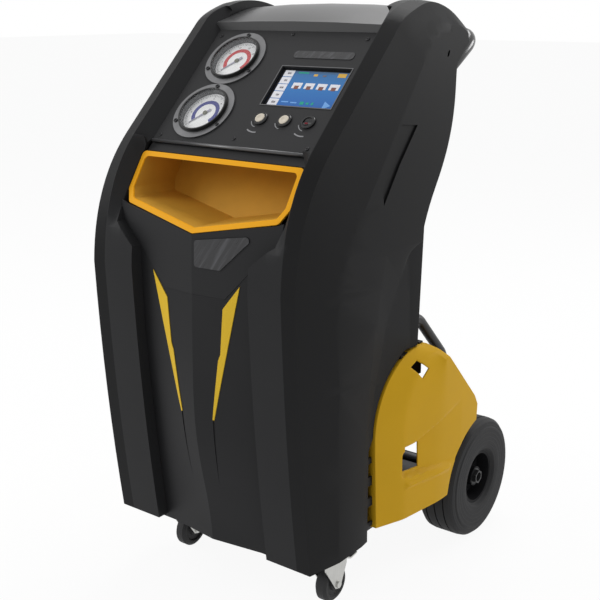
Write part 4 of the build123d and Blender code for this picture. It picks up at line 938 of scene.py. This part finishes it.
def buildGuard(side, sign):
    edges = {name: sampled(edge) for name, edge in guardEdges.items()}
    rows = [[(guardSet["inner"], *point) for point in edges["frontNear"]]]
    for step, across in enumerate(guardSection()):
        rows.append(rowBetween(across, edges["frontNear"], edges["frontFar"], step / guardSet["flareSteps"]))
    for step in range(1, guardSet["capSteps"] + 1):
        share = step / guardSet["capSteps"]
        rows.append(rowBetween(guardSet["far"], edges["frontFar"], edges["rearFar"], share))
    rows.append([(guardSet["near"], *point) for point in edges["rearNear"]])
    rows.append([(guardSet["inner"], *point) for point in edges["rearNear"]])
    last = len(rows) - 2
    placed = []
    for index, row in enumerate(rows):
        shaped = 0 < index < last
        placed.append([(
            x - (guardHollow(y, z) - guardRib(y, z) if shaped else 0),
            y / 1000 + guardSet["foot"],
            z / 1000,
        ) for x, y, z in row])
    mesh = guardGrid(placed)
    bmesh.ops.remove_doubles(mesh, verts=mesh.verts, dist=guardSet["weld"])
    for corners in guardHoles.values():
        openHole(mesh, [(y / 1000 + guardSet["foot"], z / 1000) for y, z in corners])
    bmesh.ops.recalc_face_normals(mesh, faces=mesh.faces)
    if sign < 0:
        bmesh.ops.scale(mesh, verts=mesh.verts, vec=(-1, 1, 1))
        bmesh.ops.reverse_faces(mesh, faces=mesh.faces)
    soften(mesh, guardSet["crease"])
    piece = finishPiece(side + "GuardCover", mesh, guardSun)
    wall = piece.modifiers.new("wall", "SOLIDIFY")
    wall.thickness = guardSet["wall"]
    wall.offset = -1
    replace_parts(piece, "wheel_guard_" + side)


plugSet = {"across": 0.243, "deep": -0.008, "high": 0.447, "size": (0.008, 0.076, 0.056)}


def buildPlug(side, sign):  # black stop behind the diamond opening
    mesh = bmesh.new()
    place = Matrix.Translation((sign * plugSet["across"], plugSet["deep"], plugSet["high"]))
    addTile(mesh, place, *plugSet["size"])
    finishPiece(side + "GuardPlug", mesh, rimNylon)


for guardSide, guardSign in (("right", 1), ("left", -1)):
    buildGuard(guardSide, guardSign)
    buildPlug(guardSide, guardSign)
print("guards shaped")

# side shells: copies of the frame's, with the rear edge's outer side brought forward, the strip
# beside the tray laid back and the side recess made shallower
shellSet = {
    "cutsAcross": [0.1885, 0.194, 0.1995, 0.205, 0.213, 0.224, 0.235],
    "cutsDeep": [-0.10 + 0.02 * step for step in range(16)],
    "cutsHigh": [0.44 + 0.02 * step for step in range(33)],
    "reach": 0.130,
    "outer": 0.250,
    "hinge": 0.2130,
    "stripIn": 0.1880,
    "stripOut": 0.2050,
    "stripStart": (-0.130, 0.115),
    "stripEnd": (0.172, 0.024),
    "scoopFloor": 0.232,
    "scoopShare": 0.45,
    "scoopSlack": 0.00002,
    "cutGap": 0.00005,
    "crease": 20,
    "creaseAfter": 26,
}
# depth and height of the recess's corners, then the rear edge's depth by height, then how far
# its outer side comes forward by height
scoopEdge = [(-0.0700, 0.908), (-0.0160, 0.903), (-0.0740, 0.838), (-0.1230, 0.772), (-0.1280, 0.801)]
rearLine = [(0.40, 0.032), (0.486, 0.050), (0.712, 0.056), (0.822, 0.124), (0.918, 0.158), (1.007, 0.166),
            (1.044, 0.205), (1.066, 0.203), (1.110, 0.120)]
outerShift = [(0.44, 0.0), (0.482, 0.041), (0.712, 0.037), (0.822, 0.042), (0.918, 0.042), (1.004, 0.038),
              (1.060, 0.032)]


def between(table, place):
    if place <= table[0][0]:
        return table[0][1]
    for (low, first), (high, second) in zip(table, table[1:]):
        if place <= high:
            return first + (second - first) * (place - low) / (high - low)
    return table[-1][1]


def within(corners, place):
    turns = [(x2 - x1) * (place[1] - y1) - (y2 - y1) * (place[0] - x1)
             for (x1, y1), (x2, y2) in zip(corners, corners[1:] + corners[:1])]
    return min(turns) > -shellSet["scoopSlack"] or max(turns) < shellSet["scoopSlack"]


def inScoop(place):
    return within(scoopEdge[:3] + scoopEdge[4:], place) or within(scoopEdge[2:], place)


def reshaped(spot):
    across, deep, high = abs(spot.x), spot.y, spot.z
    if across > shellSet["scoopFloor"] and inScoop((deep, high)):
        across = shellSet["outer"] - (shellSet["outer"] - across) * shellSet["scoopShare"]
    rear = between(rearLine, high)
    weight = eased((deep - rear + shellSet["reach"]) / shellSet["reach"])
    outside = min(1.0, max(0.0, (across - shellSet["hinge"]) / (shellSet["outer"] - shellSet["hinge"])))
    deep -= weight * outside * between(outerShift, high)
    slope = math.radians(traySet["slope"])
    away = (deep - traySet["centre"][1], high - traySet["centre"][2])
    along = away[0] * math.cos(slope) + away[1] * math.sin(slope)
    rise = -away[0] * math.sin(slope) + away[1] * math.cos(slope)
    start, startSoft = shellSet["stripStart"]
    end, endSoft = shellSet["stripEnd"]
    beside = eased((along - start) / startSoft) * eased((end - along) / endSoft)
    if rise > 0 and across < shellSet["stripOut"] and beside > 0:
        share = max(0.0, (across - shellSet["stripIn"]) / (shellSet["stripOut"] - shellSet["stripIn"]))
        lower = rise * (1 - share) * beside
        deep += lower * math.sin(slope)
        high -= lower * math.cos(slope)
    return Vector((math.copysign(across, spot.x), deep, high))


def nodeCopy(name):
    mesh = bmesh.new()
    mesh.from_mesh(nodes[name].data)
    mesh.transform(nodes[name].matrix_world)
    return mesh


def buildShell(side, sign):
    name = "side_shell_" + side
    mesh = nodeCopy(name)
    bmesh.ops.remove_doubles(mesh, verts=mesh.verts, dist=weldGap)
    cuts = [((sign * place, 0, 0), (1, 0, 0)) for place in shellSet["cutsAcross"]]
    cuts += [((0, place, 0), (0, 1, 0)) for place in shellSet["cutsDeep"]]
    cuts += [((0, 0, place), (0, 0, 1)) for place in shellSet["cutsHigh"]]
    for spot, normal in cuts:
        everything = mesh.verts[:] + mesh.edges[:] + mesh.faces[:]
        bmesh.ops.bisect_plane(
            mesh, geom=everything, dist=shellSet["cutGap"], plane_co=spot, plane_no=normal)
    bmesh.ops.triangulate(mesh, faces=[face for face in mesh.faces if len(face.verts) > 4])
    soften(mesh, shellSet["crease"])
    for vert in mesh.verts:
        vert.co = reshaped(vert.co)
    mesh.normal_update()
    for edge in mesh.edges:  # the move can sharpen an edge
        edge.smooth = edge.smooth and edge.calc_face_angle(0) < math.radians(shellSet["creaseAfter"])
    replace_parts(finishPiece(side + "ShellMoulding", mesh, shellBlack), name)


for shellSide, shellSign in (("left", -1), ("right", 1)):
    buildShell(shellSide, shellSign)
print("shells reshaped")

# push handle: two legs that run out of the shells and a bar across
handleSet = {
    "radius": 0.017,
    "bend": 0.042,
    "bendSteps": 10,
    "half": 0.205,
    "foot": (0.067, 0.938),
    "bar": (0.265, 1.052),
}


def handlePath():
    foot = Vector((handleSet["half"], *handleSet["foot"]))
    corner = Vector((handleSet["half"], *handleSet["bar"]))
    leg = (corner - foot).normalized()
    start, end = corner - leg * handleSet["bend"], corner - Vector((handleSet["bend"], 0, 0))
    points = [foot]
    for step in range(handleSet["bendSteps"] + 1):
        share = step / handleSet["bendSteps"]
        points.append((1 - share) ** 2 * start + 2 * share * (1 - share) * corner + share ** 2 * end)
    return points + [Vector((-point.x, point.y, point.z)) for point in reversed(points)]


def buildHandle():
    curve = bpy.data.curves.new("pushHandle", "CURVE")
    curve.dimensions = "3D"
    curve.bevel_depth = handleSet["radius"]
    curve.bevel_resolution = 8
    curve.use_fill_caps = True
    path = handlePath()
    spline = curve.splines.new("POLY")
    spline.points.add(len(path) - 1)
    for point, spot in zip(spline.points, path):
        point.co = (*spot, 1)
    data = meshOf(curve)
    mesh = bmesh.new()
    mesh.from_mesh(data)
    bpy.data.meshes.remove(data)
    bmesh.ops.remove_doubles(mesh, verts=mesh.verts, dist=weldGap)
    for face in mesh.faces:
        face.smooth = len(face.verts) == 4
    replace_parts(finishPiece("pushHandle", mesh, handleCoat), "handle_tube")


copySet = {"crease": 30, "clampsForward": 0.045, "coverWider": 1.045}


def shiftNode(name, title, change, material):  # the same shape moved a little, or wider
    mesh = nodeCopy(name)
    mesh.transform(change)
    bmesh.ops.remove_doubles(mesh, verts=mesh.verts, dist=weldGap)
    soften(mesh, copySet["crease"])
    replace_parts(finishPiece(title, mesh, material), name)


forward = Matrix.Translation((0, -copySet["clampsForward"], 0))
wider = Matrix.Diagonal((copySet["coverWider"], 1, 1, 1))
buildHandle()
shiftNode("handle_clamps", "handleClamps", forward, frameCoat)
shiftNode("top_cover", "topCover", wider, coverBlack)
print("handle bent, clamps and cover fitted")

# pale studio
studioSet = {"floor": 30.0, "ambient": 0.46, "paper": (0.93, 0.93, 0.93), "glow": 0.93}


def seenRays(tree):  # camera, glossy and transmission rays see the white studio
    path = tree.nodes.new("ShaderNodeLightPath")
    total = path.outputs["Is Camera Ray"]
    for name in ("Is Glossy Ray", "Is Transmission Ray"):
        most = tree.nodes.new("ShaderNodeMath")
        most.operation = "MAXIMUM"
        tree.links.new(total, most.inputs[0])
        tree.links.new(path.outputs[name], most.inputs[1])
        total = most.outputs[0]
    return total


def mixShaders(tree, factor, first, second, ending):
    mix = tree.nodes.new("ShaderNodeMixShader")
    for output, socket in zip((factor, first.outputs[0], second.outputs[0]), mix.inputs):
        tree.links.new(output, socket)
    tree.links.new(mix.outputs[0], tree.nodes[ending].inputs["Surface"])


def addFloor():
    mesh = bmesh.new()
    bmesh.ops.create_grid(mesh, x_segments=1, y_segments=1, size=studioSet["floor"])
    data = bpy.data.meshes.new("studioFloor")
    mesh.to_mesh(data)
    mesh.free()
    floor = newObject("studioFloor", data)
    material = bpy.data.materials.new("studioPaper")
    material.use_nodes = True
    tree = material.node_tree
    shader = tree.nodes["Principled BSDF"]
    shader.inputs["Base Color"].default_value = (*studioSet["paper"], 1)
    shader.inputs["Roughness"].default_value = 0.9
    shader.inputs["Specular IOR Level"].default_value = 0.0
    glow = tree.nodes.new("ShaderNodeEmission")
    scale = tree.nodes.new("ShaderNodeMath")
    scale.operation = "MULTIPLY"
    scale.inputs[1].default_value = studioSet["glow"]
    tree.links.new(seenRays(tree), scale.inputs[0])
    mixShaders(tree, scale.outputs[0], shader, glow, "Material Output")
    data.materials.append(material)


def addWorld():
    world = bpy.data.worlds.new("studioWorld")
    bpy.context.scene.world = world
    world.use_nodes = True
    tree = world.node_tree
    ground = tree.nodes["Background"]
    ground.inputs["Color"].default_value = (0.98, 0.99, 1.0, 1)
    ground.inputs["Strength"].default_value = studioSet["ambient"]
    white = tree.nodes.new("ShaderNodeBackground")
    white.inputs["Color"].default_value = (1, 1, 1, 1)
    white.inputs["Strength"].default_value = 1.0
    mixShaders(tree, seenRays(tree), ground, white, "World Output")


lampSet = {
    "frontLeft": {"spot": (-2.9, -2.4, 2.6), "aim": (0, 0, 0.6), "size": 2.2, "power": 62},
    "rightBack": {"spot": (2.1, 3.4, 1.7), "aim": (0, 0, 0.7), "size": 1.4, "power": 34},
    "topBack": {"spot": (-0.2, 1.2, 3.4), "aim": (0, 0.1, 0.9), "size": 2.2, "power": 55},
}


def addLamp(name, settings):
    data = bpy.data.lights.new(name, "AREA")
    data.shape = "DISK"
    data.size = settings["size"]
    data.energy = settings["power"]
    lamp = newObject(name, data)
    lamp.location = settings["spot"]
    away = Vector(settings["spot"]) - Vector(settings["aim"])
    lamp.rotation_euler = away.to_track_quat("Z", "Y").to_euler()


addFloor()
addWorld()
for lampName, lampValues in lampSet.items():
    addLamp(lampName, lampValues)
print("studio lit")
